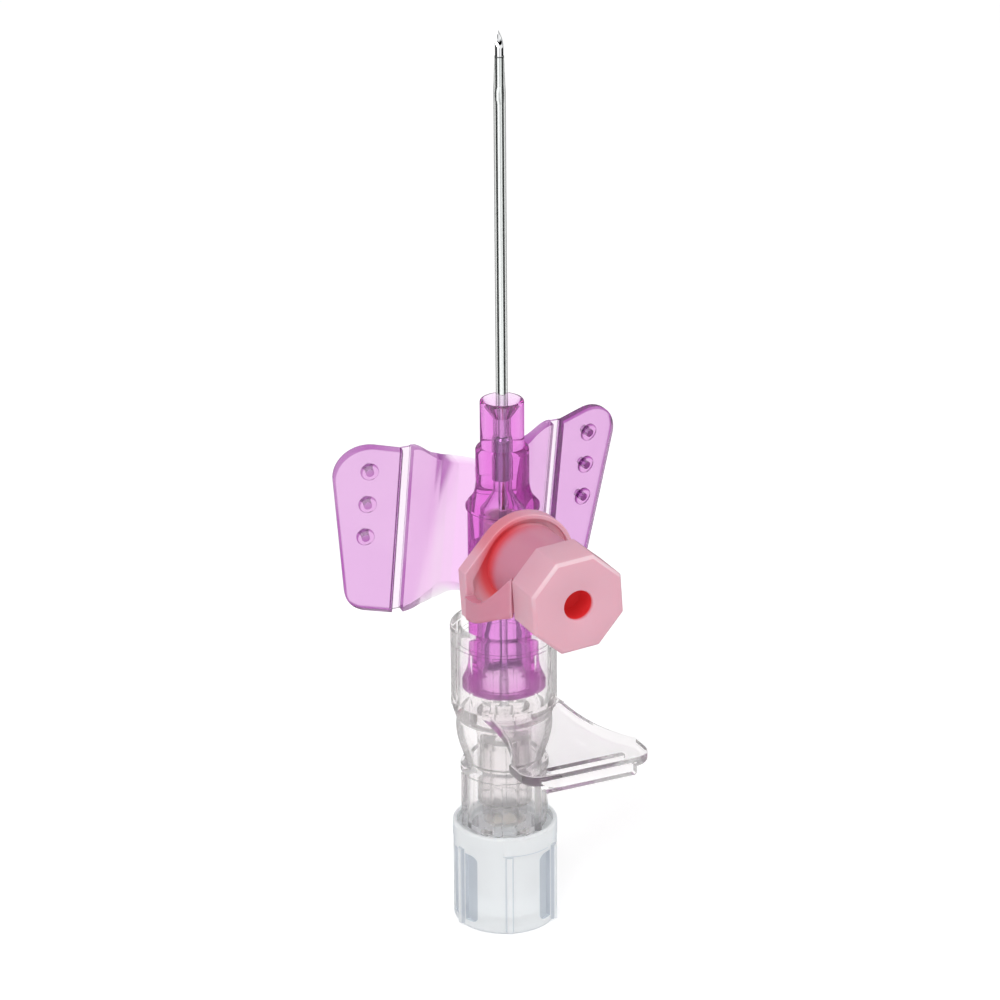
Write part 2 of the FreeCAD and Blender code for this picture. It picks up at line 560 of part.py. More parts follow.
def make_catheter_ferrule():
    """Thin metal funnel inside the tube's flared foot, with a small flange below it."""
    cone_z = FERRULE_TOP_Z - FERRULE_CONE_H
    lip_z = FERRULE_TOP_Z - FERRULE_CONE_H / 2
    outer = SEAT_R - TUBE_WALL - BOND_GAP
    lip = outer - FERRULE_STEP / 2
    return ring_profile([
        (outer, FERRULE_Z), (outer, cone_z), (lip, lip_z), (lip - FERRULE_WALL / 2, lip_z),
        (outer - FERRULE_WALL, cone_z), (outer - FERRULE_WALL, FERRULE_Z)])


def wing_place(shape, side):
    """Move a shape from the right wing's frame to its place, mirrored for the left wing."""
    placed = shape.copy()
    if side < 0:
        placed = placed.mirror(ORIGIN, AXIS_X)
    placed.rotate(ORIGIN, AXIS_X, WING_TILT)
    placed.translate(Vec(0, 0, WING_Z))
    return placed


def inner_panel():
    """Inner wing panel in the wing's frame: web from the hub, flat panel and film floor of the groove."""
    root_x, root_n = WEB_ROOT
    knee_x, knee_n = WEB_KNEE
    back = WING_FRONT + WING_T
    lean = math.atan2(knee_n - root_n, knee_x - root_x)
    off_x = WING_T * math.sin(lean)
    off_n = WING_T * math.cos(lean)
    outline = [
        Vec(root_x, root_n, 0), Vec(knee_x, knee_n, 0), Vec(knee_x + WING_T, WING_FRONT, 0),
        Vec(PANEL_EDGE_X, WING_FRONT, 0), Vec(PANEL_EDGE_X, back, 0), Vec(knee_x, back, 0),
        Vec(knee_x - off_x, knee_n + off_n, 0), Vec(root_x - off_x, root_n + off_n, 0), Vec(root_x, root_n, 0)]
    span = FLAP_TOP + FLAP_BOTTOM
    band = Part.Face(Part.makePolygon(outline)).extrude(Vec(0, 0, span + WING_T))
    band.translate(Vec(0, 0, -FLAP_BOTTOM - WING_T / 2))

    def is_knee(edge):
        box = edge.BoundBox
        return box.ZLength > span / 2 and root_x + WING_T < box.XMin < PANEL_EDGE_X - 1e-3
    band = round_edges(band, WING_T * 0.45, is_knee)
    top = [Vec(x, 0, z) for x, z in ((0, PANEL_ROOT_TOP), *PANEL_TOP, (PANEL_EDGE_X, FLAP_TOP))]
    low = [Vec(x, 0, z) for x, z in ((PANEL_EDGE_X, -FLAP_BOTTOM), *PANEL_LOW, (0, PANEL_ROOT_LOW))]
    cutter = closed_face([
        curve_through(top), Part.makeLine(top[-1], low[0]), curve_through(low), Part.makeLine(low[-1], top[0])])
    cutter = cutter.extrude(Vec(0, 3 * WING_FRONT, 0))
    cutter.translate(Vec(0, -WING_FRONT, 0))
    panel = band.common(cutter)
    film = Part.makeBox(GROOVE_W + WING_T / 2, FILM_T, span,
                        Vec(PANEL_EDGE_X - WING_T / 2, HINGE_N - FILM_T / 2, -FLAP_BOTTOM))
    bead = Part.makeCylinder(FILM_T / 2, span, Vec(HINGE_X, HINGE_N, -FLAP_BOTTOM), AXIS_Z)
    return panel.fuse([film, bead])


def make_wing_flap(side):
    """Outer wing panel: rounded outline, three raised-rim holes, hinge groove along its inner edge."""
    outline = [
        Vec(HINGE_X, 0, -FLAP_BOTTOM), Vec(HINGE_X, 0, FLAP_TOP),
        Vec(FLAP_TOP_CORNER[0], 0, FLAP_TOP_CORNER[1]),
        Vec(FLAP_LOW_CORNER[0], 0, FLAP_LOW_CORNER[1]), Vec(HINGE_X, 0, -FLAP_BOTTOM)]
    flap = Part.Face(Part.makePolygon(outline)).extrude(Vec(0, WING_T, 0))
    flap.translate(Vec(0, WING_FRONT, 0))

    def corner_at(z):
        def wanted(edge):
            box = edge.BoundBox
            return box.YLength > WING_T / 2 and box.XMin > HINGE_X + 1 and abs(box.ZMin - z) < 1e-4
        return wanted
    flap = round_edges(flap, FLAP_TOP_CORNER_R, corner_at(FLAP_TOP_CORNER[1]))
    flap = round_edges(flap, FLAP_LOW_CORNER_R, corner_at(FLAP_LOW_CORNER[1]))

    def is_rim(edge):
        box = edge.BoundBox
        return box.YLength < 1e-4 and box.XMax > HINGE_X + 1e-3
    flap = round_edges(flap, FLAP_EDGE_R, is_rim)
    rims = []
    holes = []
    for z in (HOLE_PITCH, 0, -HOLE_PITCH):
        start = Vec(HOLE_X, WING_FRONT - HOLE_RIM_PROUD, z)
        rim = Part.makeCylinder(HOLE_RIM_R, HOLE_RIM_PROUD + WING_T / 2, start, AXIS_Y)
        rim = rim.makeFillet(HOLE_RIM_EDGE_R, [edge for edge in rim.Edges if edge.BoundBox.YMax < start.y + 1e-4])
        rims.append(rim)
        holes.append(Part.makeCylinder(HOLE_R, 2 * WING_T + HOLE_RIM_PROUD, start, AXIS_Y))
    flap = flap.fuse(rims).cut(holes)
    socket = Part.makeCylinder(FILM_T / 2 + HINGE_GAP, FLAP_TOP + FLAP_BOTTOM + 2 * WING_T,
                               Vec(HINGE_X, HINGE_N, -FLAP_BOTTOM - WING_T), AXIS_Z)
    flap = flap.cut(socket)
    flap.rotate(Vec(HINGE_X, HINGE_N, 0), AXIS_Z, FLAP_REST)
    return wing_place(flap, side)


def hub_outside():
    """Outer form of the catheter hub's turned parts, bored later."""
    ring_top_z = RIM_Z - RING_TOP
    ring_z = ring_top_z - RING_H
    bell_z = RIM_Z - BELL_BOTTOM
    lug_top_z = HUB_Z + LUG_T
    shoulder = Part.BSplineCurve()
    shoulder.interpolate([
        Vec(BELL_NECK_R, 0, ring_z), *(Vec(r, 0, ring_z - depth) for r, depth in BELL_CURVE),
        Vec(BELL_R, 0, bell_z + BELL_LIP_H)])
    flare_z = lug_top_z + LUG_FLARE_H
    flare = Part.BSplineCurve()
    flare.interpolate([
        Vec(BARREL_R, 0, flare_z), Vec((3 * BARREL_R + LUG_R) / 4, 0, (lug_top_z + flare_z) / 2), Vec(LUG_R, 0, lug_top_z)])
    points = [Vec(r, 0, z) for r, z in (
        (0, RIM_Z), (NOSE_R, RIM_Z), (NOSE_R, ring_top_z), (RING_R, ring_top_z), (RING_R, ring_z),
        (BELL_NECK_R, ring_z))]
    edges = [Part.makeLine(a, b) for a, b in zip(points[:-1], points[1:])]
    edges.append(shoulder.toShape())
    edges.append(Part.makeLine(Vec(BELL_R, 0, bell_z + BELL_LIP_H), Vec(BELL_R, 0, bell_z)))
    edges.append(Part.makeLine(Vec(BELL_R, 0, bell_z), Vec(BARREL_R, 0, bell_z)))
    edges.append(Part.makeLine(Vec(BARREL_R, 0, bell_z), Vec(BARREL_R, 0, flare_z)))
    edges.append(flare.toShape())
    points = [Vec(r, 0, z) for r, z in (
        (LUG_R, lug_top_z), (LUG_R, HUB_Z + LUG_CHAMFER), (LUG_R - LUG_CHAMFER, HUB_Z), (0, HUB_Z), (0, RIM_Z))]
    edges += [Part.makeLine(a, b) for a, b in zip(points[:-1], points[1:])]
    face = Part.Face(Part.Wire(edges))
    body = face.revolve(ORIGIN, AXIS_Z, 360)
    body = round_edges(body, EDGE_R, rim_test(NOSE_R, RIM_Z))
    return round_edges(body, RING_TOP_EDGE_R, rim_test(RING_R, ring_top_z))


def make_catheter_hub():
    """Pink hub moulding: nose, rings, barrel, lugs, port tower, inner wing panels and film."""
    tower = port_cylinder(PORT_BOSS_R, 0, PORT_RING_SEAT)
    tower = tower.fuse([
        port_cylinder(PORT_R, 0, PORT_REACH),
        port_cylinder(PORT_LIP_R, -RING_FLOOR_Y + CAP_SKIRT_OFF_RING, -RING_FLOOR_Y + PORT_LIP_H)])
    body = hub_outside().fuse([tower, wing_place(inner_panel(), 1), wing_place(inner_panel(), -1)])
    seat_top_z = VALVE_Z + VALVE_SEAT_L
    cone_top_z = seat_top_z + HUB_CONE_H
    cone_z = FERRULE_TOP_Z - FERRULE_CONE_H
    root_r = TUBE_R + TUBE_ROOT_STEP + TUBE_ROOT_GAP
    bore = ring_profile([
        (0, HUB_Z), (LUER_MOUTH_R, HUB_Z), (HUB_SEAT_R, VALVE_Z), (HUB_SEAT_R, seat_top_z), (HUB_LUMEN_R, cone_top_z),
        (HUB_LUMEN_R, FERRULE_Z), (SEAT_R + BOND_GAP, FERRULE_Z), (SEAT_R + BOND_GAP, cone_z),
        (root_r, FERRULE_TOP_Z), (root_r, RIM_Z - NOSE_MOUTH_DEPTH),
        (NOSE_MOUTH_R, RIM_Z), (0, RIM_Z)])
    socket_end_r = LUER_MOUTH_R - LUER_SLOPE * PORT_SOCKET_H
    socket = port_cone(socket_end_r, LUER_MOUTH_R, PORT_REACH - PORT_SOCKET_H, PORT_REACH)
    lumen = port_cylinder(PORT_LUMEN_R, 0, PORT_REACH)
    return body.cut(bore.fuse([socket, lumen])).removeSplitter()


def make_port_valve():
    """Soft sleeve in the hub's seat that closes the port's inner mouth."""
    outer = HUB_SEAT_R - BOND_GAP
    sleeve = cylinder(outer, VALVE_Z + BOND_GAP, VALVE_Z + VALVE_L)
    return sleeve.cut(cylinder(outer - VALVE_WALL, VALVE_Z, VALVE_Z + VALVE_L))


def teardrop(radius, left_x, top, low, start, end):
    """Disc round the port's axis drawn out to a flat left edge, between two distances from the hub."""
    upper = (left_x, top)
    lower = (left_x + STRAP_T / 3, low)
    points = [upper, lower, tangent_point(lower, -1, radius), (0, 0), tangent_point(upper, 1, radius)]
    outline = [Vec(x, -start, PORT_Z + z) for x, z in points]
    outline.append(outline[0])
    ear = Part.Face(Part.makePolygon(outline)).extrude(Vec(0, start - end, 0))
    return port_cylinder(radius, start, end).fuse(ear).removeSplitter()


def make_cap_ring():
    """Ring round the tower's neck, drawn out to an ear on the left, with a rim round its front."""
    back = PORT_RING_SEAT + BOND_GAP
    ring = teardrop(CAP_RING_R, -EAR_X, EAR_TOP, -EAR_BOTTOM, back, -RING_FRONT_Y)

    def is_back_or_front(edge):
        box = edge.BoundBox
        return box.YLength < 1e-4
    ring = round_edges(ring, EDGE_R / 2, is_back_or_front)
    recess = teardrop(CAP_RING_R - CAP_RIM_W, -EAR_X + EAR_RIM_W, EAR_TOP - EAR_RIM_W, -EAR_BOTTOM + EAR_RIM_W,
                      -RING_FLOOR_Y, -RING_FRONT_Y + CAP_RING_T)
    ring = ring.cut([recess, port_cylinder(PORT_R + SWIVEL_GAP, 0, PORT_REACH)])
    return ring.removeSplitter()


def tangent_point(point, sign, radius):
    """Touch point on a circle round the port's axis of the tangent from a point outside it."""
    x, z = point
    distance = math.hypot(x, z)
    heading = math.atan2(z, x)
    spread = math.acos(radius / distance)
    angle = heading - sign * spread
    return (radius * math.cos(angle), radius * math.sin(angle))


def curve_through(points):
    """Smooth curve through points, as an edge."""
    curve = Part.BSplineCurve()
    curve.interpolate(points)
    return curve.toShape()


def closed_face(edges):
    """Face inside a closed chain of edges."""
    return Part.Face(Part.Wire(Part.__sortEdges__(edges)))


def make_cap_strap():
    """Short strap from the ear's front round to the back edge of the head's left flat."""
    end_x = -HEAD_ACROSS_FLATS / 2 - STRAP_OFF_HEAD
    end_y = HEAD_BACK_Y + BOND_GAP
    outer = []
    inner = []
    for x, share in STRAP_PATH:
        y = RING_FRONT_Y + share * (end_y - RING_FRONT_Y)
        outer.append(Vec(x, y, 0))
        inner.append(Vec(x + STRAP_T, y + share * STRAP_T / 2, 0))
    outer.append(Vec(end_x, end_y, 0))
    inner.append(Vec(end_x + STRAP_END_T, end_y, 0))
    band = closed_face([
        curve_through(outer), Part.makeLine(outer[-1], inner[-1]), curve_through(inner),
        Part.makeLine(inner[0], outer[0])]).extrude(Vec(0, 0, EAR_BOTTOM + HEAD_ACROSS_FLATS / 2))
    band.translate(Vec(0, 0, PORT_Z - EAR_BOTTOM))
    x = -EAR_X - STRAP_T
    low = []
    high = []
    for share, low_z, high_z in STRAP_SIDES:
        y = RING_FRONT_Y + share * (end_y - RING_FRONT_Y)
        low.append(Vec(x, y, PORT_Z + low_z))
        high.append(Vec(x, y, PORT_Z + high_z))
    window = closed_face([
        curve_through(low), Part.makeLine(low[-1], high[-1]), curve_through(high),
        Part.makeLine(high[0], low[0])]).extrude(Vec(EAR_X, 0, 0))
    return band.common(window)


def make_cap_lid():
    """Octagonal head with its blind hole, skirt over the tower and plug in the port."""
    corner_r = HEAD_ACROSS_FLATS / 2 / math.cos(math.radians(22.5))
    corners = []
    for index in range(9):
        angle = math.radians(22.5 + HEAD_TURN + 45 * index)
        corners.append(Vec(corner_r * math.cos(angle), HEAD_BACK_Y, PORT_Z + corner_r * math.sin(angle)))
    head = Part.Face(Part.makePolygon(corners)).extrude(Vec(0, -HEAD_T, 0))
    front_edges = [edge for edge in head.Edges if edge.BoundBox.YMax < HEAD_FRONT_Y + 1e-4]
    head = head.makeChamfer(HEAD_CHAMFER, front_edges)
    head = round_edges(head, HEAD_EDGE_R, lambda edge: edge.BoundBox.YMin < HEAD_BACK_Y - HEAD_CHAMFER)
    hole = port_cylinder(HEAD_HOLE_R, -HEAD_FRONT_Y - HEAD_HOLE_DEPTH, -HEAD_FRONT_Y + HEAD_T)
    head = head.cut(hole)

    def is_hole_mouth(edge):
        box = edge.BoundBox
        return box.YMax < HEAD_FRONT_Y + 1e-4 and abs(box.XMax - HEAD_HOLE_R) < 1e-3
    head = round_edges(head, HEAD_HOLE_EDGE_R, is_hole_mouth)
    skirt_start = -RING_FLOOR_Y + CAP_SKIRT_OFF_RING
    skirt = port_cylinder(CAP_SKIRT_R, skirt_start, -HEAD_BACK_Y)
    skirt = skirt.cut(port_cylinder(PORT_LIP_R + CAP_SKIRT_GAP, skirt_start, PORT_REACH + LOOSE_GAP))
    plug_end_r = LUER_MOUTH_R - SLIDE_GAP - LUER_SLOPE * CAP_PLUG_L
    plug = port_cone(plug_end_r, LUER_MOUTH_R - SLIDE_GAP, PORT_REACH - CAP_PLUG_L, PORT_REACH)
    foot = port_cylinder(LUER_MOUTH_R - SLIDE_GAP, PORT_REACH, -HEAD_BACK_Y)
    return head.fuse([skirt, plug, foot]).removeSplitter()


def clip_arm_outline(side):
    """Centre line of one clip arm in the XZ plane, from the base's middle to the curled head."""
    foot_x = CLIP_HALF_W
    head_z = CLIP_H - CLIP_HEAD_H
    touch_x = NEEDLE_R + CLIP_T
    points = [
        (0, CLIP_T / 2), (foot_x - CLIP_T / 2, CLIP_T / 2), (foot_x - CLIP_T / 2, CLIP_WIDE_H),
        (touch_x + CLIP_T, head_z), (touch_x + CLIP_HEAD_OUT, CLIP_H - CLIP_T), (touch_x + CLIP_HEAD_OUT * 1.6, head_z + CLIP_BEND_R)]
    return [(side * x, z) for x, z in points]


def strip_along(points, thickness, width):
    """Strip of even thickness along a centre line in XZ, with rounded bends, centred on Y."""
    pieces = []
    for (x0, z0), (x1, z1) in zip(points[:-1], points[1:]):
        length = math.hypot(x1 - x0, z1 - z0)
        block = Part.makeBox(length, width, thickness, Vec(0, -width / 2, -thickness / 2))
        block.rotate(ORIGIN, AXIS_Y, -math.degrees(math.atan2(z1 - z0, x1 - x0)))
        block.translate(Vec(x0, 0, z0))
        pieces.append(block)
    for x, z in points[1:-1]:
        pieces.append(Part.makeCylinder(thickness / 2, width, Vec(x, -width / 2, z), AXIS_Y))
    return pieces[0].fuse(pieces[1:])


def make_safety_clip():
    """One folded strip of spring steel threaded on the needle, its arms spread by the shaft."""
    base = Part.makeBox(2 * CLIP_HALF_W, CLIP_BASE_DEPTH, CLIP_T, Vec(-CLIP_HALF_W, -CLIP_BASE_DEPTH / 2, 0))
    base = round_edges(base, CLIP_BEND_R, lambda edge: edge.BoundBox.ZLength > CLIP_T / 2)
    pieces = [base]
    for side in (1, -1):
        line = clip_arm_outline(side)
        pieces.append(strip_along(line[1:3], CLIP_T, CLIP_ARM_W))
        pieces.append(strip_along(line[2:], CLIP_T, CLIP_TIP_W))
    clip = pieces[0].fuse(pieces[1:])
    clip = clip.cut(Part.makeCylinder(CLIP_HOLE_R, 4 * CLIP_T, Vec(0, 0, -CLIP_T), AXIS_Z))
    clip.translate(Vec(0, 0, CLIP_Z))
    return clip.removeSplitter()


PIECES = {
    "luer_stopper": make_stopper,
    "flash_plug": make_flash_plug,
    "vent_filter": make_vent_filter,
    "needle_hub": make_needle_hub,
    "needle": make_needle,
    "safety_clip": make_safety_clip,
    "catheter_hub": make_catheter_hub,
    "catheter_tube": make_catheter_tube,
    "catheter_ferrule": make_catheter_ferrule,
    "port_valve": make_port_valve,
    "port_cap_ring": make_cap_ring,
    "port_cap_strap": make_cap_strap,
    "port_cap_lid": make_cap_lid,
    "wing_flap_left": lambda: make_wing_flap(-1),
    "wing_flap_right": lambda: make_wing_flap(1),
}

for name, make in PIECES.items():
    shape = make()
    shape.exportStep("parts/" + name + ".step")
    print(name, "solids", len(shape.Solids), "valid", shape.isValid(), "volume", round(shape.Volume, 3))
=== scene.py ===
"""Looks of a winged intravenous cannula with a capped port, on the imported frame.

The frame gives every rigid piece. This file dresses them, makes the pieces that bend, and sets the studio.
Everything is in metres: +Z runs along the needle to its point and -Y points to the injection port.
"""
import logging
import math
from dataclasses import dataclass, field
from enum import Enum
from typing import Any, Union

import bmesh
import bpy
from mathutils import Matrix, Vector


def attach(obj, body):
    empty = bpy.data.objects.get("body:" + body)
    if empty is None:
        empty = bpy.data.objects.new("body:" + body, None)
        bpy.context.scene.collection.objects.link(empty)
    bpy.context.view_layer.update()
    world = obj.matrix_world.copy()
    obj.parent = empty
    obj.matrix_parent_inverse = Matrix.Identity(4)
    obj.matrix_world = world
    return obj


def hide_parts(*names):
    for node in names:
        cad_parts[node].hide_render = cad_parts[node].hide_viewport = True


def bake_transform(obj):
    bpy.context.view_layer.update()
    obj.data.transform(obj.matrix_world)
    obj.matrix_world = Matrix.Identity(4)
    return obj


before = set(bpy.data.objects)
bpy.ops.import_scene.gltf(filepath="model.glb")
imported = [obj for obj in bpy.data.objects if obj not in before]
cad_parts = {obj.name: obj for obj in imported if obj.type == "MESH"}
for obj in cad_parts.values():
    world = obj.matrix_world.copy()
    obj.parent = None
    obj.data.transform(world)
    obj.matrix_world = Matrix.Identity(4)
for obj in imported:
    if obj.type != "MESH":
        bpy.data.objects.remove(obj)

log = logging.getLogger("cannula")
MM = 0.001
Colour = tuple[float, float, float]
Value = Union[float, "Wire"]
Line = tuple[tuple[float, float], ...]


def srgb(red: int, green: int, blue: int) -> Colour:
    """Linear colour of a screen colour given in 0 to 255.

    Args:
        red: red level.
        green: green level.
        blue: blue level.

    Returns:
        The three linear levels from 0 to 1.
    """
    levels = [level / 255 for level in (red, green, blue)]
    return tuple(v / 12.92 if v <= 0.04045 else ((v + 0.055) / 1.055) ** 2.4 for v in levels)


class Wire:
    """One output socket of a shader node, with arithmetic that adds Math nodes."""

    def __init__(self, tree: bpy.types.NodeTree, socket: bpy.types.NodeSocket) -> None:
        """Keep the tree and the socket.

        Args:
            tree: tree that the socket belongs to.
            socket: output socket.
        """
        self.tree = tree
        self.socket = socket

    def _math(self, operation: str, *values: Value) -> "Wire":
        """Add one Math node.

        Args:
            operation: the node's operation.
            values: numbers or wires for its inputs.

        Returns:
            The node's result.
        """
        node = self.tree.nodes.new("ShaderNodeMath")
        node.operation = operation
        for slot, value in zip(node.inputs, values):
            if isinstance(value, Wire):
                self.tree.links.new(value.socket, slot)
            else:
                slot.default_value = value
        return Wire(self.tree, node.outputs[0])

    def __add__(self, other: Value) -> "Wire":
        """Sum."""
        return self._math("ADD", self, other)

    __radd__ = __add__

    def __mul__(self, other: Value) -> "Wire":
        """Product."""
        return self._math("MULTIPLY", self, other)

    __rmul__ = __mul__

    def __sub__(self, other: Value) -> "Wire":
        """Difference."""
        return self._math("SUBTRACT", self, other)

    def __rsub__(self, other: Value) -> "Wire":
        """Difference from a number."""
        return self._math("SUBTRACT", other, self)

    def __truediv__(self, other: Value) -> "Wire":
        """Quotient."""
        return self._math("DIVIDE", self, other)

    def __pow__(self, other: Value) -> "Wire":
        """Power."""
        return self._math("POWER", self, other)

    def __abs__(self) -> "Wire":
        """Absolute value."""
        return self._math("ABSOLUTE", self)

    def cosine(self) -> "Wire":
        """Cosine of an angle in radians."""
        return self._math("COSINE", self)

    def angle_to(self, second: "Wire") -> "Wire":
        """Angle in radians of the point whose first part is this value and whose second part is given."""
        return self._math("ARCTAN2", second, self)

    def below(self, limit: Value) -> "Wire":
        """1 where the value is under a limit, and 0 elsewhere."""
        return self._math("LESS_THAN", self, limit)

    def above(self, limit: Value) -> "Wire":
        """1 where the value is over a limit, and 0 elsewhere."""
        return self._math("GREATER_THAN", self, limit)

    def at_most(self, limit: Value) -> "Wire":
        """The smaller of the value and a limit."""
        return self._math("MINIMUM", self, limit)

    def ramp(self, low: float, high: float) -> "Wire":
        """Smooth step from 0 at the low value to 1 at the high one.

        Args:
            low: value that gives 0.
            high: value that gives 1.

        Returns:
            The smoothed step.
        """
        node = self.tree.nodes.new("ShaderNodeMapRange")
        node.interpolation_type = "SMOOTHSTEP"
        self.tree.links.new(self.socket, node.inputs[0])
        node.inputs[1].default_value = low
        node.inputs[2].default_value = high
        return Wire(self.tree, node.outputs[0])


class Paint:
    """One material and the nodes that make it."""

    def __init__(self, name: str) -> None:
        """Start an empty material.

        Args:
            name: the material's name.
        """
        self.material = bpy.data.materials.new(name)
        self.material.use_nodes = True
        self.tree = self.material.node_tree
        self.tree.nodes.clear()
        self.surface_out = self.tree.nodes.new("ShaderNodeOutputMaterial")

    @classmethod
    def on_tree(cls, tree: bpy.types.NodeTree) -> "Paint":
        """Paint that adds its nodes to a tree that is there already."""
        made = cls.__new__(cls)
        made.tree = tree
        return made

    def node(self, kind: str, settings: dict[str, Any] | None = None,
             inputs: dict[Any, Any] | None = None, output: Any = 0) -> Wire:
        """Add one node.

        Args:
            kind: the node's type, without the leading ShaderNode.
            settings: attributes set before the sockets.
            inputs: number, colour or wire for each named or numbered input.
            output: name or number of the output to return.

        Returns:
            The chosen output.
        """
        made = self.tree.nodes.new("ShaderNode" + kind)
        for key, value in (settings or {}).items():
            setattr(made, key, value)
        for key, value in (inputs or {}).items():
            if isinstance(value, Wire):
                self.tree.links.new(value.socket, made.inputs[key])
            elif isinstance(value, tuple) and len(value) == 3 and made.inputs[key].type == "RGBA":
                made.inputs[key].default_value = (*value, 1)
            else:
                made.inputs[key].default_value = value
        return Wire(self.tree, made.outputs[output])

    def place(self, centre: Colour = (0, 0, 0)) -> Wire:
        """Object coordinates in metres, measured from a centre."""
        raw = self.node("TexCoord", output="Object")
        if centre == (0, 0, 0):
            return raw
        return self.node("VectorMath", {"operation": "SUBTRACT"}, {0: raw, 1: centre})

    def axes(self, vector: Wire) -> tuple[Wire, Wire, Wire]:
        """The three parts of a vector."""
        split = self.node("SeparateXYZ", {}, {0: vector})
        outs = split.socket.node.outputs
        return tuple(Wire(self.tree, out) for out in outs)

    def noise(self, vector: Wire, scale: float, detail: float = 2.0) -> Wire:
        """Noise from 0 to 1 with a feature size of about 1 / scale metres."""
        return self.node("TexNoise", {}, {"Vector": vector, "Scale": scale, "Detail": detail}, "Fac")

    def mix(self, share: Value, first: Any, second: Any) -> Wire:
        """Colour between two colours.

        Args:
            share: 0 for the first and 1 for the second.
            first: colour or wire.
            second: colour or wire.

        Returns:
            The mixed colour.
        """
        made = self.tree.nodes.new("ShaderNodeMix")
        made.data_type = "RGBA"
        for slot, value in ((0, share), (6, first), (7, second)):
            if isinstance(value, Wire):
                self.tree.links.new(value.socket, made.inputs[slot])
            elif isinstance(value, tuple):
                made.inputs[slot].default_value = (*value, 1)
            else:
                made.inputs[slot].default_value = value
        return Wire(self.tree, made.outputs[2])

    def bump(self, height: Wire, depth: float, strength: float = 1.0) -> Wire:
        """Normal of a surface raised by a height times a depth in metres."""
        return self.node("Bump", {}, {"Height": height, "Distance": depth, "Strength": strength})

    def edge(self, low: float, high: float) -> Wire:
        """1 where a clear face is seen along its surface, and 0 where it is seen square on.

        Args:
            low: share of tilt at which the edge begins.
            high: share of tilt at which it is full.

        Returns:
            The share of the edge.
        """
        return self.node("LayerWeight", {}, {"Blend": 0.5}, "Facing").ramp(low, high)

    def off_plane(self, normal: Colour, low: float, high: float) -> Wire:
        """1 on the narrow sides and rounded edges of a sheet, and 0 on its two broad faces.

        Args:
            normal: the sheet's unit normal.
            low: share of the normal under which a face is a side.
            high: share over which it is a broad face.

        Returns:
            The share of the side.
        """
        own = self.node("TexCoord", output="Normal")
        lean = self.node("VectorMath", {"operation": "DOT_PRODUCT"}, {0: own, 1: normal}, "Value")
        return 1.0 - abs(lean).ramp(low, high)

    def absorb(self, colour: Colour, density: float) -> None:
        """Take light along its way through the piece.

        Args:
            colour: colour that is left where the piece is thick.
            density: strength for each metre.
        """
        made = self.node("VolumeAbsorption", {}, {"Color": colour, "Density": density})
        self.tree.links.new(made.socket, self.surface_out.inputs["Volume"])

    def finish(self, surface: Wire) -> bpy.types.Material:
        """Join the surface to the output and return the material."""
        self.tree.links.new(surface.socket, self.surface_out.inputs["Surface"])
        return self.material


@dataclass(frozen=True)
class ClearPlastic:
    """Clear polished moulding whose faces each take a little light, with thin grey painted shade at its edges.

    Attributes:
        name: the material's name.
        tint: colour that each face gives to the light.
        rim: grey painted shade on the faces that are seen along their surface.
        inner: colour that is left after a long way inside.
        density: strength of the inner colour for each metre.
    """
    name: str
    tint: Colour
    rim: Colour
    inner: Colour
    density: float

    def make(self) -> bpy.types.Material:
        """Build the material."""
        paint = Paint(self.name)
        where = paint.place()
        cloud = paint.noise(where, 260.0, 3.0)
        tone = paint.mix(cloud.ramp(0.35, 0.75), self.tint, tuple(0.98 * c for c in self.tint))
        # painted shade: grey tone where a face is seen along its surface
        tone = paint.mix(paint.edge(0.66, 0.96), tone, self.rim)
        swell = paint.noise(where, 420.0, 1.0)
        shader = paint.node("BsdfPrincipled", {}, {
            "Base Color": tone, "Roughness": cloud * 0.02 + 0.005, "IOR": 1.14, "Transmission Weight": 1.0,
            "Alpha": 0.85, "Normal": paint.bump(swell, 0.03 * MM, 0.3)})
        paint.absorb(self.inner, self.density)
        return paint.finish(shader)


@dataclass(frozen=True)
class FrostedPlastic:
    """Milky moulding: white where its wall is thick, with blue grey painted shade on its thin flats, its ribs'
    sides and its grazing edges, and a faint painted glow.

    Attributes:
        name: the material's name.
        tone: colour of the thick wall.
        flat: blue grey painted shade of the flats, the ribs' sides and the faces seen along their surface.
        flat_radius: distance from the axis under which the wall counts as a flat.
        flat_top: height at which the flats end.
        glow: strength of the painted glow that the wall gives off in its own colour.
        side_from: distance from the axis over which a face is a rib's side.
        side_to: distance at which the ribs' tops begin.
        side_top: height over which the ribs have ended.
    """
    name: str
    tone: Colour
    flat: Colour
    flat_radius: float
    flat_top: float
    glow: float
    side_from: float = 4.96 * MM
    side_to: float = 5.22 * MM
    side_top: float = 8.3 * MM

    def make(self) -> bpy.types.Material:
        """Build the material."""
        paint = Paint(self.name)
        where = paint.place()
        x, y, z = paint.axes(where)
        away = (x * x + y * y) ** 0.5
        cloud = paint.noise(where, 300.0, 3.0)
        # painted shade: the flats are coloured blue grey
        past = away - self.flat_radius
        thin = (1.0 - past.ramp(-0.06 * MM, 0.0)) * past.above(-0.5 * MM)
        thin = thin * (1.0 - (z - self.flat_top).ramp(-0.15 * MM, 0.05 * MM))
        tone = paint.mix(cloud, self.tone, tuple(0.96 * c for c in self.tone))
        tone = paint.mix(thin, tone, self.flat)
        # painted shade: blue grey on the ribs' sides and where faces are seen along their surface
        side = away.ramp(self.side_from, self.side_from + 0.03 * MM)
        side = side * (1.0 - away.ramp(self.side_to, self.side_to + 0.05 * MM)) * z.below(self.side_top)
        tone = paint.mix((paint.edge(0.55, 1.0) + side).at_most(1.0) * 0.7, tone, self.flat)
        # painted glow: the wall gives off light in its own colour
        shader = paint.node("BsdfPrincipled", {}, {
            "Base Color": tone, "Roughness": cloud * 0.1 + 0.3, "IOR": 1.25, "Transmission Weight": 0.5,
            "Emission Color": tone, "Emission Strength": self.glow})
        return paint.finish(shader)


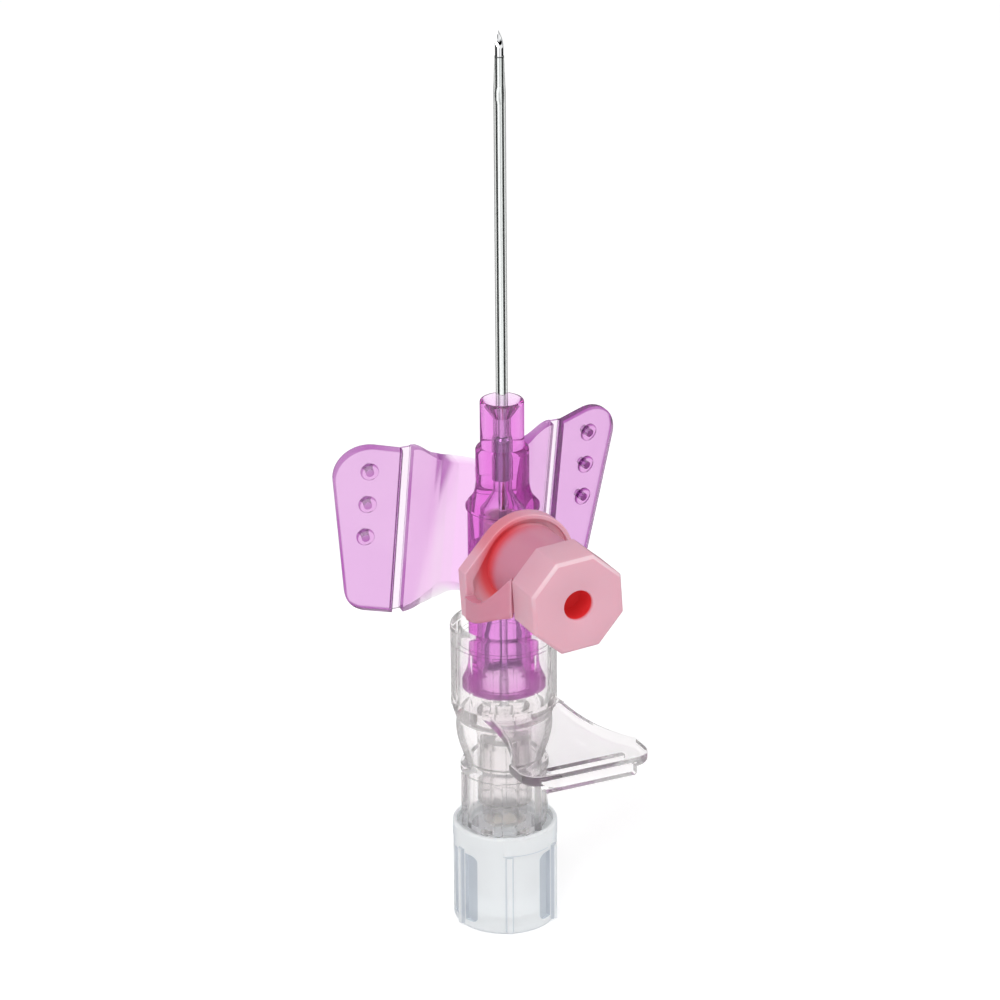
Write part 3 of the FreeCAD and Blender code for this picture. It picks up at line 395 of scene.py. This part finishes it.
@dataclass(frozen=True)
class TintedPlastic:
    """Translucent coloured moulding: pale where it is thin, deep where light goes a long way, with painted
    highlights on its webs and films and painted shade on its narrow sides and grazing faces.

    Attributes:
        name: the material's name.
        face: colour that each face of the turned parts gives to the light.
        inner: colour that is left after a long way inside.
        density: strength of the inner colour for each metre.
        web_highlight: paler face colour of the webs beside the hub, a painted highlight.
        panel: face colour of the wings' panels.
        rim: deep painted shade on the faces that are seen along their surface.
        side_shade: dark painted shade on the wings' narrow sides.
        film_highlight: near-white face colour of the thin films at which the wings bend, a painted highlight.
        tilt: lean of the wings, in radians.
        film_from: distance from the middle at which the films start.
        film_to: distance at which they end.
        web_from: distance from the middle at which the webs start.
        web_to: distance at which they end, at the level of web_z.
        web_z: height at which that distance is given.
        web_lean: share of the height over web_z by which the webs end nearer to the middle.
    """
    name: str
    face: Colour
    inner: Colour
    density: float
    web_highlight: Colour
    panel: Colour
    rim: Colour
    side_shade: Colour = (0.24, 0.02, 0.26)
    film_highlight: Colour = (0.97, 0.93, 0.97)
    tilt: float = math.radians(10.5)
    film_from: float = 7.12 * MM
    film_to: float = 7.95 * MM
    web_from: float = 3.4 * MM
    web_to: float = 6.2 * MM
    web_z: float = 30.0 * MM
    web_lean: float = 0.16

    def make(self) -> bpy.types.Material:
        """Build the material."""
        paint = Paint(self.name)
        where = paint.place()
        x, _, z = paint.axes(where)
        across = abs(x)
        cloud = paint.noise(where, 330.0, 3.0)
        patch = paint.noise(where, 150.0, 2.0).ramp(0.4, 0.7)
        lean = across + (z - self.web_z) * self.web_lean
        outside = across.ramp(self.web_from - 0.15 * MM, self.web_from)
        # painted highlight: paler webs beside the hub
        wing = paint.mix(lean.ramp(self.web_to - MM, self.web_to), self.web_highlight, self.panel)
        # painted highlight: near-white films where the wings bend
        wing = paint.mix(across.above(self.film_from) * across.below(self.film_to), wing, self.film_highlight)
        # painted shade: the wings' narrow sides are coloured dark
        side = paint.off_plane((0.0, math.cos(self.tilt), math.sin(self.tilt)), 0.7, 0.965)
        side = side * lean.ramp(self.web_to - 0.2 * MM, self.web_to + 0.3 * MM)
        wing = paint.mix(side, wing, self.side_shade)
        tone = paint.mix(outside, self.face, wing)
        tone = paint.mix(patch * 0.15, tone, tuple(0.5 + 0.5 * c for c in self.face))
        # painted shade: deeper colour where a face is seen along its surface
        grazing_shade = paint.edge(0.42, 0.85) * (1.0 - outside * side)
        tone = paint.mix(grazing_shade, tone, self.rim)
        paint.absorb(self.inner, self.density)
        shader = paint.node("BsdfPrincipled", {}, {
            "Base Color": tone, "Roughness": cloud * 0.03 + 0.02, "IOR": 1.2,
            "Transmission Weight": 0.95, "Alpha": 0.9, "Normal": paint.bump(cloud, 0.04 * MM, 0.3)})
        return paint.finish(shader)


@dataclass(frozen=True)
class CapPlastic:
    """Opaque pink plastic of the port's cap, which glows red in its hole and creases by painted light, with
    painted shade behind its head and a painted highlight on its chamfer.

    Attributes:
        name: the material's name.
        body: colour of the head and the ring.
        sleeve_shade: deeper colour of the thin skirt and strap behind the head, painted as the shade that falls
            there.
        deep: colour of the light that stays in the creases.
        axis_z: height of the cap's axis.
        hole_radius: radius of the blind hole.
        front_y: place of the head's front.
        back_y: place of the head's back.
        floor_y: place of the ring's recessed front.
        skirt_radius: radius of the lid's skirt.
        glow: strength of the red light.
        crease_reach: distance from the skirt at which the light of the ring's channel ends.
        crease_depth: distance from the channel's floor at which it ends.
        highlight_depth: depth of the painted highlight on the chamfer round the head's front.
        highlight_from: distance from the axis over which the painted highlight on the chamfer lies.
    """
    name: str
    body: Colour
    sleeve_shade: Colour
    deep: Colour
    axis_z: float
    hole_radius: float
    front_y: float
    back_y: float
    floor_y: float
    skirt_radius: float
    glow: float = 0.28
    crease_reach: float = 1.5 * MM
    crease_depth: float = 2.2 * MM
    highlight_depth: float = 0.32 * MM
    highlight_from: float = 3.0 * MM

    def make(self) -> bpy.types.Material:
        """Build the material."""
        paint = Paint(self.name)
        where = paint.place((0, 0, self.axis_z))
        x, y, z = paint.axes(where)
        away = (x * x + z * z) ** 0.5
        cloud = paint.noise(where, 400.0, 3.0)
        # painted red light and shade in the blind hole and the ring's channel, strongest towards -X
        hole = away.below(self.hole_radius + 0.02 * MM) * (y - self.front_y).ramp(0.05 * MM, 0.45 * MM)
        low = 1.0 - abs(away - self.skirt_radius - 0.2 * MM).ramp(0.1 * MM, self.crease_reach)
        near = 1.0 - abs(y - self.floor_y).ramp(0.3 * MM, self.crease_depth)
        side = 1.0 - (x + z * 0.3).ramp(-1.5 * MM, 3.0 * MM)
        crease = low * near * side
        red = (hole + crease * 0.95).at_most(1.0)
        # painted highlight: pale chamfer round the head's front, strongest at the top
        edge = (y - self.front_y).above(0.02 * MM) * (y - self.front_y).below(self.highlight_depth)
        edge = edge * away.above(self.highlight_from) * z.ramp(-1.0 * MM, 4.5 * MM)
        # painted shade: deeper colour on the skirt and strap behind the head
        behind = (y - self.back_y).ramp(-0.2 * MM, 0.3 * MM)
        behind = behind * (1.0 - (y - self.floor_y).ramp(-0.9 * MM, -0.6 * MM))
        tone = paint.mix(cloud, self.body, tuple(0.95 * c for c in self.body))
        tone = paint.mix(behind, tone, self.sleeve_shade)
        tone = paint.mix(edge * 0.4, tone, (1.0, 0.9, 0.92))
        tone = paint.mix(red, tone, self.deep)
        # painted glow: red light given off in the hole and the channel
        warm = paint.mix((hole + crease * 0.85).at_most(1.0), self.sleeve_shade, self.deep)
        grain = paint.noise(where, 5200.0, 2.0)
        shader = paint.node("BsdfPrincipled", {}, {
            "Base Color": tone, "Roughness": cloud * 0.08 + 0.3, "IOR": 1.48,
            "Subsurface Weight": 0.3, "Subsurface Radius": (1.0, 0.35, 0.4),
            "Subsurface Scale": 1.0 * MM,
            "Emission Color": paint.mix(red, (0.0, 0.0, 0.0), warm), "Emission Strength": self.glow,
            "Normal": paint.bump(grain, 0.01 * MM, 0.4)})
        return paint.finish(shader)


@dataclass(frozen=True)
class Steel:
    """Drawn or rolled stainless steel with fine marks along its length.

    Attributes:
        name: the material's name.
        tone: colour.
        roughness: mean roughness.
        along: stretch of the marks on each axis.
    """
    name: str
    tone: Colour
    roughness: float
    along: Colour = (9000.0, 9000.0, 250.0)

    def make(self) -> bpy.types.Material:
        """Build the material."""
        paint = Paint(self.name)
        where = paint.place()
        drawn = paint.node("VectorMath", {"operation": "MULTIPLY"}, {0: where, 1: self.along})
        marks = paint.noise(drawn, 1.0, 3.0)
        tone = paint.mix(marks, self.tone, tuple(0.9 * c for c in self.tone))
        shader = paint.node("BsdfPrincipled", {}, {
            "Base Color": tone, "Metallic": 1.0, "Roughness": marks * 0.04 + self.roughness,
            "Normal": paint.bump(marks, 0.001 * MM, 0.2)})
        return paint.finish(shader)


@dataclass(frozen=True)
class StripedTube:
    """Clear soft tube with darker stripes set in its wall.

    Attributes:
        name: the material's name.
        tint: colour of the clear wall.
        stripe: colour of the stripes.
        count: number of stripes.
        width: half angle of a stripe, in radians.
        end: height of the tube's tip.
        rim: colour of the cut end.
    """
    name: str
    tint: Colour
    stripe: Colour
    count: int = 4
    width: float = 0.2
    end: float = 84.7 * MM
    rim: Colour = (0.35, 0.36, 0.36)

    def make(self) -> bpy.types.Material:
        """Build the material."""
        paint = Paint(self.name)
        where = paint.place()
        x, y, z = paint.axes(where)
        wave = (x.angle_to(y) * float(self.count)).cosine()
        band = wave.ramp(math.cos(self.count * self.width), 1.0)
        cloud = paint.noise(where, 600.0, 2.0)
        tone = paint.mix(band * 0.7, self.tint, self.stripe)
        tone = paint.mix(z.above(self.end - 0.1 * MM), tone, self.rim)
        shader = paint.node("BsdfPrincipled", {}, {
            "Base Color": tone, "Roughness": cloud * 0.01, "IOR": 1.3,
            "Transmission Weight": 1.0})
        return paint.finish(shader)


@dataclass(frozen=True)
class SoftMatt:
    """Soft matt piece, such as silicone or porous sheet.

    Attributes:
        name: the material's name.
        tone: colour.
        roughness: mean roughness.
        grain: size of the grain, in metres.
    """
    name: str
    tone: Colour
    roughness: float
    grain: float

    def make(self) -> bpy.types.Material:
        """Build the material."""
        paint = Paint(self.name)
        where = paint.place()
        cloud = paint.noise(where, 1.0 / self.grain, 3.0)
        tone = paint.mix(cloud, self.tone, tuple(0.88 * c for c in self.tone))
        shader = paint.node("BsdfPrincipled", {}, {
            "Base Color": tone, "Roughness": cloud * 0.1 + self.roughness,
            "Subsurface Weight": 0.3, "Subsurface Radius": (1.0, 0.8, 0.7), "Subsurface Scale": 0.4 * MM,
            "Normal": paint.bump(cloud, self.grain * 0.1, 0.5)})
        return paint.finish(shader)


class Finish(Enum):
    """The finishes of the cannula's pieces."""

    # the clear plastic's second colour is the grey painted shade of its edges
    CLEAR = ClearPlastic("clear_plastic", (0.975, 0.97, 0.97), (0.7, 0.67, 0.67), (0.72, 0.62, 0.64), 60.0)
    # the frosted plastic's second colour is its blue grey painted shade
    FROSTED = FrostedPlastic(
        "frosted_plastic", srgb(240, 242, 243), srgb(192, 198, 206), 4.88 * MM, 7.9 * MM, 0.13)
    # for the hub and the flaps, the colour after the density is the webs' painted highlight and the last is the
    # deep painted shade of grazing faces
    HUB = TintedPlastic(
        "hub_pink", (0.94, 0.84, 0.95), (0.86, 0.04, 0.8), 330.0, (0.88, 0.865, 0.88), (0.79, 0.64, 0.8),
        (0.62, 0.17, 0.6))
    FLAP = TintedPlastic(
        "flap_pink", (0.78, 0.64, 0.8), (0.86, 0.04, 0.8), 330.0, (0.77, 0.62, 0.79), (0.77, 0.62, 0.79),
        (0.62, 0.17, 0.6))
    # the cap's second colour is painted shade behind the head, and its third the painted red light in the hole
    # and creases
    CAP = CapPlastic(
        "cap_pink", srgb(236, 180, 196), srgb(216, 142, 164), srgb(200, 44, 48), axis_z=38.08 * MM,
        hole_radius=1.4 * MM, front_y=-15.85 * MM, back_y=-11.5 * MM, floor_y=-4.65 * MM, skirt_radius=3.78 * MM)
    STEEL = Steel("needle_steel", (0.9, 0.91, 0.92), 0.01)
    SPRING = Steel("clip_steel", srgb(176, 180, 184), 0.24, (2500.0, 9000.0, 2500.0))
    TUBE = StripedTube("catheter_wall", (0.955, 0.965, 0.955), (0.84, 0.87, 0.85))
    VALVE = SoftMatt("valve_silicone", srgb(226, 214, 208), 0.5, 0.3 * MM)
    MEMBRANE = SoftMatt("filter_membrane", srgb(240, 240, 236), 0.8, 0.08 * MM)


class Dresser:
    """Gives each finish one material and puts it on pieces."""

    def __init__(self) -> None:
        """Start with no material made."""
        self.made: dict[Finish, bpy.types.Material] = {}

    def material(self, finish: Finish) -> bpy.types.Material:
        """The finish's material, made once."""
        if finish not in self.made:
            self.made[finish] = finish.value.make()
        return self.made[finish]

    def dress(self, piece: bpy.types.Object, finish: Finish) -> None:
        """Put a finish on every slot of a piece.

        Args:
            piece: the object to dress.
            finish: the finish to use.
        """
        material = self.material(finish)
        if not piece.material_slots:
            piece.data.materials.append(material)
        for slot in piece.material_slots:
            slot.material = material
        log.info("dressed %s with %s", piece.name, material.name)


@dataclass(frozen=True)
class CapSizes:
    """Sizes of the port's cap, in millimetres; distances run from the needle's axis towards the front.

    Attributes:
        axis_z: height of the cap's axis.
        ring_front: distance of the ring's front.
        head_back: distance of the head's back.
        head_front: distance of the head's front.
        across_flats: width of the octagonal head.
        head_turn: turn of the head about its axis, in degrees.
        chamfer: chamfer round the head's front.
        hole: radius of the blind hole.
        hole_end: distance of the hole's floor.
        skirt: radius of the skirt.
        bore: radius inside the skirt.
        skirt_end: distance of the skirt's open end.
        bore_end: distance of the bore's floor.
        plug: radius of the plug at the port's mouth.
        plug_tip: radius of the plug at its tip.
        plug_end: distance of the plug's tip.
        path: the strap's outer line, as the share of the way from the ring to the head, and x.
        low: the strap's lower edge, as the share of the way and the height over the cap's axis.
        high: the strap's upper edge, in the same way.
        thick: thickness of the strap at the ring and at the head.
    """
    axis_z: float = 38.08
    ring_front: float = 5.25
    head_back: float = 11.5
    head_front: float = 15.85
    across_flats: float = 8.9
    head_turn: float = 3.8
    chamfer: float = 0.28
    hole: float = 1.4
    hole_end: float = 13.25
    skirt: float = 3.78
    bore: float = 3.34
    skirt_end: float = 4.7
    bore_end: float = 11.15
    plug: float = 2.11
    plug_tip: float = 1.98
    plug_end: float = 6.8
    path: Line = (
        (0.0, -6.3), (0.22, -6.28), (0.5, -6.05), (0.8, -5.4), (1.0, -4.6))
    low: Line = ((0.0, -4.3), (0.25, -4.1), (0.5, -3.5), (0.8, -2.6), (1.0, -2.1))
    high: Line = ((0.0, -2.0), (0.25, -2.0), (0.5, -1.5), (0.8, 0.2), (1.0, 1.8))
    thick: tuple[float, float] = (0.9, 0.42)


class PortCap:
    """The cap's lid, and the strap that bends between its ring and its lid."""

    SEGMENTS = 64
    STATIONS = 28
    HEAD_EDGE = 0.09                                        # rounding of the head's edges, in millimetres
    STRAP_EDGE = 0.11                                       # rounding of the strap's edges
    EDGE_STEPS = 3
    HOLE_MOUTH = ((0.0, 0.16), (0.05, 0.05), (0.18, 0.0))   # depth, and growth of the hole's radius
    HEAD_ANGLE = math.radians(20)                           # least bend of an edge that gets rounded
    STRAP_ANGLE = math.radians(60)
    SHADE_ANGLE = math.radians(32)
    DOUBLE = 0.0005                                         # distance under which points are one

    def __init__(self, sizes: CapSizes) -> None:
        """Keep the sizes.

        Args:
            sizes: the cap's sizes.
        """
        self.sizes = sizes

    def octagon(self, angle: float, across: float) -> float:
        """Distance from the axis to an octagon's edge in one direction.

        Args:
            angle: direction in radians.
            across: width across the flats.

        Returns:
            The distance.
        """
        step = math.radians(45)
        off = (angle - math.radians(self.sizes.head_turn) + step / 2) % step - step / 2
        return across / 2 / math.cos(off)

    def along(self, points: Line, share: float) -> float:
        """Smooth value between listed points.

        Args:
            points: pairs of share and value, in order.
            share: place between the first share and the last.

        Returns:
            The value at that place.
        """
        last = len(points) - 2
        index = min(last, max(i for i in range(last + 1) if points[i][0] <= share + 1e-9))
        (s1, v1), (s2, v2) = points[index], points[index + 1]
        before = points[max(index - 1, 0)]
        after = points[min(index + 2, last + 1)]
        slope1 = (v2 - before[1]) / (s2 - before[0])
        slope2 = (after[1] - v1) / (after[0] - s1)
        span = s2 - s1
        t = (share - s1) / span
        return ((2 * t ** 3 - 3 * t ** 2 + 1) * v1 + (t ** 3 - 2 * t ** 2 + t) * span * slope1
                + (3 * t ** 2 - 2 * t ** 3) * v2 + (t ** 3 - t ** 2) * span * slope2)

    def keep(self, mesh: bmesh.types.BMesh, name: str) -> bpy.types.Object:
        """Turn a finished mesh into an object.

        Args:
            mesh: the mesh, in metres.
            name: the object's name.

        Returns:
            The object.
        """
        bmesh.ops.remove_doubles(mesh, verts=mesh.verts[:], dist=self.DOUBLE * MM)
        bmesh.ops.recalc_face_normals(mesh, faces=mesh.faces[:])
        data = bpy.data.meshes.new(name)
        mesh.to_mesh(data)
        mesh.free()
        data.shade_smooth()
        data.set_sharp_from_angle(angle=self.SHADE_ANGLE)
        made = bpy.data.objects.new(name, data)
        bpy.context.scene.collection.objects.link(made)
        log.info("made %s with %d faces", name, len(data.polygons))
        return made

    def round_off(self, mesh: bmesh.types.BMesh, edges: list[bmesh.types.BMEdge], width: float) -> None:
        """Round edges off by a width, in the mesh's own unit."""
        bmesh.ops.bevel(mesh, geom=edges, offset=width, segments=self.EDGE_STEPS, profile=0.5,
                        affect="EDGES", material=-1)

    def lid(self) -> bpy.types.Object:
        """Octagonal head with its blind hole, slim skirt and plug, as one closed skin."""
        s = self.sizes
        front = s.across_flats - 2 * s.chamfer
        stations = [
            (s.plug_end, s.plug_tip, 0.0), (s.bore_end, s.plug, 0.0), (s.bore_end, s.bore, 0.0),
            (s.skirt_end, s.bore, 0.0), (s.skirt_end, s.skirt, 0.0), (s.head_back, s.skirt, 0.0),
            (s.head_back, 0.0, s.across_flats), (s.head_front - s.chamfer, 0.0, s.across_flats),
            (s.head_front, 0.0, front),
            *((s.head_front - depth, s.hole + growth, 0.0) for depth, growth in self.HOLE_MOUTH),
            (s.hole_end, s.hole, 0.0)]
        mesh = bmesh.new()
        turn = Matrix.Rotation(math.radians(s.head_turn + 22.5), 4, "Z")
        bmesh.ops.create_circle(mesh, cap_ends=True, segments=self.SEGMENTS, radius=1.0, matrix=turn)
        edges = mesh.edges[:]
        self.shape_loop(mesh.verts[:], stations[0])
        for station in stations[1:]:
            grown = bmesh.ops.extrude_edge_only(mesh, edges=edges)["geom"]
            edges = [item for item in grown if isinstance(item, bmesh.types.BMEdge) and not item.link_faces[1:]]
            self.shape_loop([item for item in grown if isinstance(item, bmesh.types.BMVert)], station)
        bmesh.ops.contextual_create(mesh, geom=edges)
        sharp = [edge for edge in mesh.edges if self.on_head(edge)]
        self.round_off(mesh, sharp, self.HEAD_EDGE)
        for vert in mesh.verts:
            x, z, distance = vert.co
            vert.co = Vector((x * MM, -distance * MM, (s.axis_z + z) * MM))
        return self.keep(mesh, "cap_lid_moulding")

    def shape_loop(self, verts: list[bmesh.types.BMVert], station: tuple[float, float, float]) -> None:
        """Set one loop round the axis to its radius or its octagon.

        Args:
            verts: the loop's points.
            station: distance, radius and width across the flats, which is 0 for a round loop.
        """
        distance, radius, across = station
        for vert in verts:
            angle = math.atan2(vert.co.y, vert.co.x)
            reach = self.octagon(angle, across) if across else radius
            vert.co = Vector((reach * math.cos(angle), reach * math.sin(angle), distance))

    def on_head(self, edge: bmesh.types.BMEdge) -> bool:
        """Whether an edge is one of the octagon's outer edges."""
        if len(edge.link_faces) != 2 or edge.calc_face_angle(0.0) < self.HEAD_ANGLE:
            return False
        return all(vert.co.xy.length > self.sizes.skirt + 0.3 for vert in edge.verts)

    def strap(self) -> bpy.types.Object:
        """Band from the ear's front round to the head's left flat, in one bent strip with soft edges."""
        mesh = bmesh.new()
        bmesh.ops.create_grid(mesh, x_segments=self.STATIONS, y_segments=8, size=0.5)
        grown = bmesh.ops.extrude_face_region(mesh, geom=mesh.faces[:])["geom"]
        for item in grown:
            if isinstance(item, bmesh.types.BMVert):
                item.co.z = 1.0
        for vert in mesh.verts:
            vert.co = self.strap_point(vert.co.x + 0.5, vert.co.y + 0.5, vert.co.z)
        sharp = [edge for edge in mesh.edges if edge.calc_face_angle(0.0) > self.STRAP_ANGLE]
        self.round_off(mesh, sharp, self.STRAP_EDGE * MM)
        return self.keep(mesh, "cap_strap_band")

    def strap_point(self, share: float, up: float, inward: float) -> Vector:
        """Point of the strap.

        Args:
            share: way from the ring to the head.
            up: way from the lower edge to the upper one.
            inward: way from the outer face to the inner one.

        Returns:
            The point in metres.
        """
        s = self.sizes
        share = min(max(share, 0.0), 1.0)
        length = s.head_back - s.ring_front
        step = 0.01
        first, last = max(share - step, 0.0), min(share + step, 1.0)
        x = self.along(s.path, share)
        slope = self.along(s.path, last) - self.along(s.path, first)
        normal = Vector(((last - first) * length, slope)).normalized()
        thick = (s.thick[0] + (s.thick[1] - s.thick[0]) * share) * inward
        low, high = self.along(s.low, share), self.along(s.high, share)
        distance = s.ring_front + share * length
        return Vector(((x + normal.x * thick) * MM, -(distance - normal.y * thick) * MM,
                       (s.axis_z + low + (high - low) * up) * MM))

    def build(self, dresser: "Dresser") -> None:
        """Make the lid and the strap, dress them and hang the lid on its body.

        Args:
            dresser: keeper of the materials.
        """
        lid = self.lid()
        dresser.dress(lid, Finish.CAP)
        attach(lid, "port_cap")
        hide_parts("port_cap_lid")
        strap = self.strap()
        dresser.dress(strap, Finish.CAP)
        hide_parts("port_cap_strap")
        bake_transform(strap)


@dataclass
class FrameFinishes:
    """Which finish each frame node carries."""

    nodes: dict[str, Finish] = field(default_factory=lambda: {
        "luer_stopper": Finish.FROSTED,
        "flash_plug": Finish.CLEAR,
        "vent_filter": Finish.MEMBRANE,
        "needle_hub": Finish.CLEAR,
        "needle": Finish.STEEL,
        "safety_clip": Finish.SPRING,
        "catheter_hub": Finish.HUB,
        "catheter_tube": Finish.TUBE,
        "catheter_ferrule": Finish.SPRING,
        "port_valve": Finish.VALVE,
        "port_cap_ring": Finish.CAP,
        "port_cap_strap": Finish.CAP,
        "port_cap_lid": Finish.CAP,
        "wing_flap_left": Finish.FLAP,
        "wing_flap_right": Finish.FLAP,
    })

    def apply(self, dresser: Dresser) -> None:
        """Dress every node of the frame.

        Args:
            dresser: keeper of the materials.
        """
        for name, finish in self.nodes.items():
            dresser.dress(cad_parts[name], finish)


@dataclass
class Studio:
    """Camera, floor, lamps and surroundings.

    Attributes:
        azimuth: the camera's angle about Z, in degrees.
        elevation: its angle above the horizon, in degrees.
        distance: from the camera to the target.
        target_z: height of the point that the camera looks at.
        lens: focal length in millimetres on a 36 mm sensor.
        shift: sideways move of the picture, as a share of its width.
        roll: turn of the camera about its view, in degrees.
        floor_size: width of the floor.
        steel_rest: level of the dark surroundings that steel mirrors.
        plastic_rest: level of the surroundings that the plastics mirror inside.
        grey_turn: angle of the grey card from the camera's side, in degrees.
        grey: share of light that the grey card takes.
        grey_card: closeness to its middle at which the grey card begins and is full.
        floor_card: closeness to the camera's side at which the floor's white card begins and is full.
        sky_card: the same for the surroundings.
        steel_zone: distances on the floor, plus floor_near, between which its dark part for steel begins.
        floor_near: length added to distances on the floor, so that none is nothing.
        floor_glow: strength of the floor where it is seen.
        sky: strength of the surroundings where they light the object.
    """
    azimuth: float = -25.1
    elevation: float = 22.5
    distance: float = 0.4
    target_z: float = 42.38 * MM
    lens: float = 156.96
    shift: float = -0.00257
    roll: float = -0.43
    floor_size: float = 6.0
    steel_rest: float = 0.02
    plastic_rest: float = 0.5
    grey_turn: float = 12.0
    grey: float = 0.5
    grey_card: tuple[float, float] = (0.84, 0.94)
    floor_card: tuple[float, float] = (0.35, 0.6)
    sky_card: tuple[float, float] = (0.0, 0.35)
    steel_zone: tuple[float, float] = (0.13, 0.15)
    floor_near: float = 0.02
    floor_glow: float = 0.42
    sky: float = 0.55

    def camera(self) -> bpy.types.Object:
        """Make the camera and return it."""
        data = bpy.data.cameras.new("camera")
        data.sensor_width = 36.0
        data.lens = self.lens
        data.shift_x = self.shift
        data.clip_start = 0.01
        data.clip_end = 20.0
        made = bpy.data.objects.new("camera", data)
        bpy.context.scene.collection.objects.link(made)
        turn, rise = math.radians(self.azimuth), math.radians(self.elevation)
        away = Vector((math.sin(turn) * math.cos(rise), -math.cos(turn) * math.cos(rise), math.sin(rise)))
        target = Vector((0, 0, self.target_z))
        look = (-away).to_track_quat("-Z", "Y").to_matrix()
        made.matrix_world = (Matrix.Translation(target + away * self.distance)
                             @ look.to_4x4() @ Matrix.Rotation(math.radians(self.roll), 4, "Z"))
        bpy.context.scene.camera = made
        return made

    def seen(self, paint: Paint) -> Wire:
        """1 for the rays that show the background, and 0 for those that light the object."""
        outs = paint.node("LightPath").socket.node.outputs
        camera, glossy, through = (Wire(paint.tree, outs[key]) for key in
                                   ("Is Camera Ray", "Is Glossy Ray", "Is Transmission Ray"))
        return (camera + glossy + through).at_most(1.0)

    def mirrored(self, paint: Paint) -> Wire:
        """1 for the rays that a surface has mirrored, and 0 for the rest."""
        return paint.node("LightPath", output="Glossy Depth").above(0.5)

    def off_needle(self, paint: Paint) -> Wire:
        """1 for the rays that the needle mirrors once, bare or behind the catheter's two walls."""
        outs = paint.node("LightPath").socket.node.outputs
        mirrors, walls = (Wire(paint.tree, outs[key]) for key in ("Glossy Depth", "Transmission Depth"))
        return (walls.below(0.5) + walls.above(3.5) * walls.below(4.5)) * mirrors.below(1.5)

    def floor(self) -> None:
        """Pale floor that shows white and keeps the object's soft shadow."""
        mesh = bmesh.new()
        bmesh.ops.create_grid(mesh, x_segments=1, y_segments=1, size=self.floor_size / 2)
        data = bpy.data.meshes.new("floor")
        mesh.to_mesh(data)
        mesh.free()
        made = bpy.data.objects.new("floor", data)
        bpy.context.scene.collection.objects.link(made)
        made.location.z = -0.05 * MM
        paint = Paint("floor_white")
        where = paint.place()
        tone = paint.mix(paint.noise(where, 40.0), srgb(240, 240, 240), srgb(236, 236, 236))
        x, y, _ = paint.axes(where)
        angle = math.radians(self.azimuth)
        reach = (x * x + y * y) ** 0.5 + self.floor_near
        front = (x * math.sin(angle) - y * math.cos(angle)) / reach
        angle = math.radians(self.azimuth + self.grey_turn)
        middle = (x * math.sin(angle) - y * math.cos(angle)) / reach
        cards = front.ramp(*self.floor_card) * (1.0 - middle.ramp(*self.grey_card) * self.grey)
        far = reach.ramp(*self.steel_zone) * self.off_needle(paint)
        rest = self.plastic_rest + far * (self.steel_rest - self.plastic_rest)
        level = 1.0 - self.mirrored(paint) * (1.0 - cards) * (1.0 - rest)
        matt = paint.node("BsdfDiffuse", {}, {"Color": paint.mix(level, (0.0, 0.0, 0.0), tone)})
        glow = paint.node("Emission", {}, {
            "Color": (1.0, 1.0, 1.0), "Strength": self.seen(paint) * level * self.floor_glow})
        both = paint.node("AddShader", {}, {0: matt, 1: glow})
        data.materials.append(paint.finish(both))

    def card(self, turn: float) -> Colour:
        """Direction from the object to a card, turned from the camera's side by an angle in degrees."""
        angle = math.radians(self.azimuth + turn)
        rise = math.radians(self.elevation)
        return (math.sin(angle) * math.cos(rise), -math.cos(angle) * math.cos(rise), math.sin(rise))

    def world(self) -> None:
        """Even surroundings: plain light on the object and white where they are seen."""
        world = bpy.data.worlds.new("surroundings")
        world.use_nodes = True
        bpy.context.scene.world = world
        tree = world.node_tree
        tree.nodes.clear()
        paint = Paint.on_tree(tree)
        out = tree.nodes.new("ShaderNodeOutputWorld")
        seen = self.seen(paint)
        way = paint.node("TexCoord", output="Generated")
        front, middle = (
            paint.node("VectorMath", {"operation": "DOT_PRODUCT"}, {0: way, 1: self.card(turn)}, "Value")
            for turn in (0.0, self.grey_turn))
        cards = front.ramp(*self.sky_card) * (1.0 - middle.ramp(*self.grey_card) * self.grey)
        level = 1.0 - self.mirrored(paint) * (1.0 - cards) * (1.0 - self.plastic_rest)
        level = (1.0 - seen) * self.sky + seen * level
        sky = paint.node("Background", {}, {"Color": (1.0, 1.0, 1.0), "Strength": level})
        tree.links.new(sky.socket, out.inputs["Surface"])

    def lamp(self, name: str, place: Colour, size: float, power: float) -> None:
        """Square soft lamp that faces the object.

        Args:
            name: the lamp's name.
            place: where it stands.
            size: width of its face.
            power: strength in watts.
        """
        data = bpy.data.lights.new(name, "AREA")
        data.size = size
        data.energy = power
        made = bpy.data.objects.new(name, data)
        bpy.context.scene.collection.objects.link(made)
        aim = Vector((0, 0, self.target_z)) - Vector(place)
        made.matrix_world = Matrix.Translation(Vector(place)) @ aim.to_track_quat("-Z", "Y").to_matrix().to_4x4()

    def build(self) -> None:
        """Set up the whole studio."""
        self.camera()
        self.floor()
        self.world()
        self.lamp("key_lamp", (-0.35, -0.3, 0.5), 0.3, 1.6)
        self.lamp("fill_lamp", (0.45, -0.25, 0.25), 0.35, 0.7)
        scene = bpy.context.scene
        scene.view_settings.view_transform = "Standard"


def main() -> None:
    """Build the looks in order and report each piece."""
    logging.basicConfig(level=logging.INFO, format="%(message)s")
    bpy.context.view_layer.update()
    studio = Studio()
    studio.build()
    dresser = Dresser()
    FrameFinishes().apply(dresser)
    PortCap(CapSizes()).build(dresser)


if __name__ == "__main__":
    main()
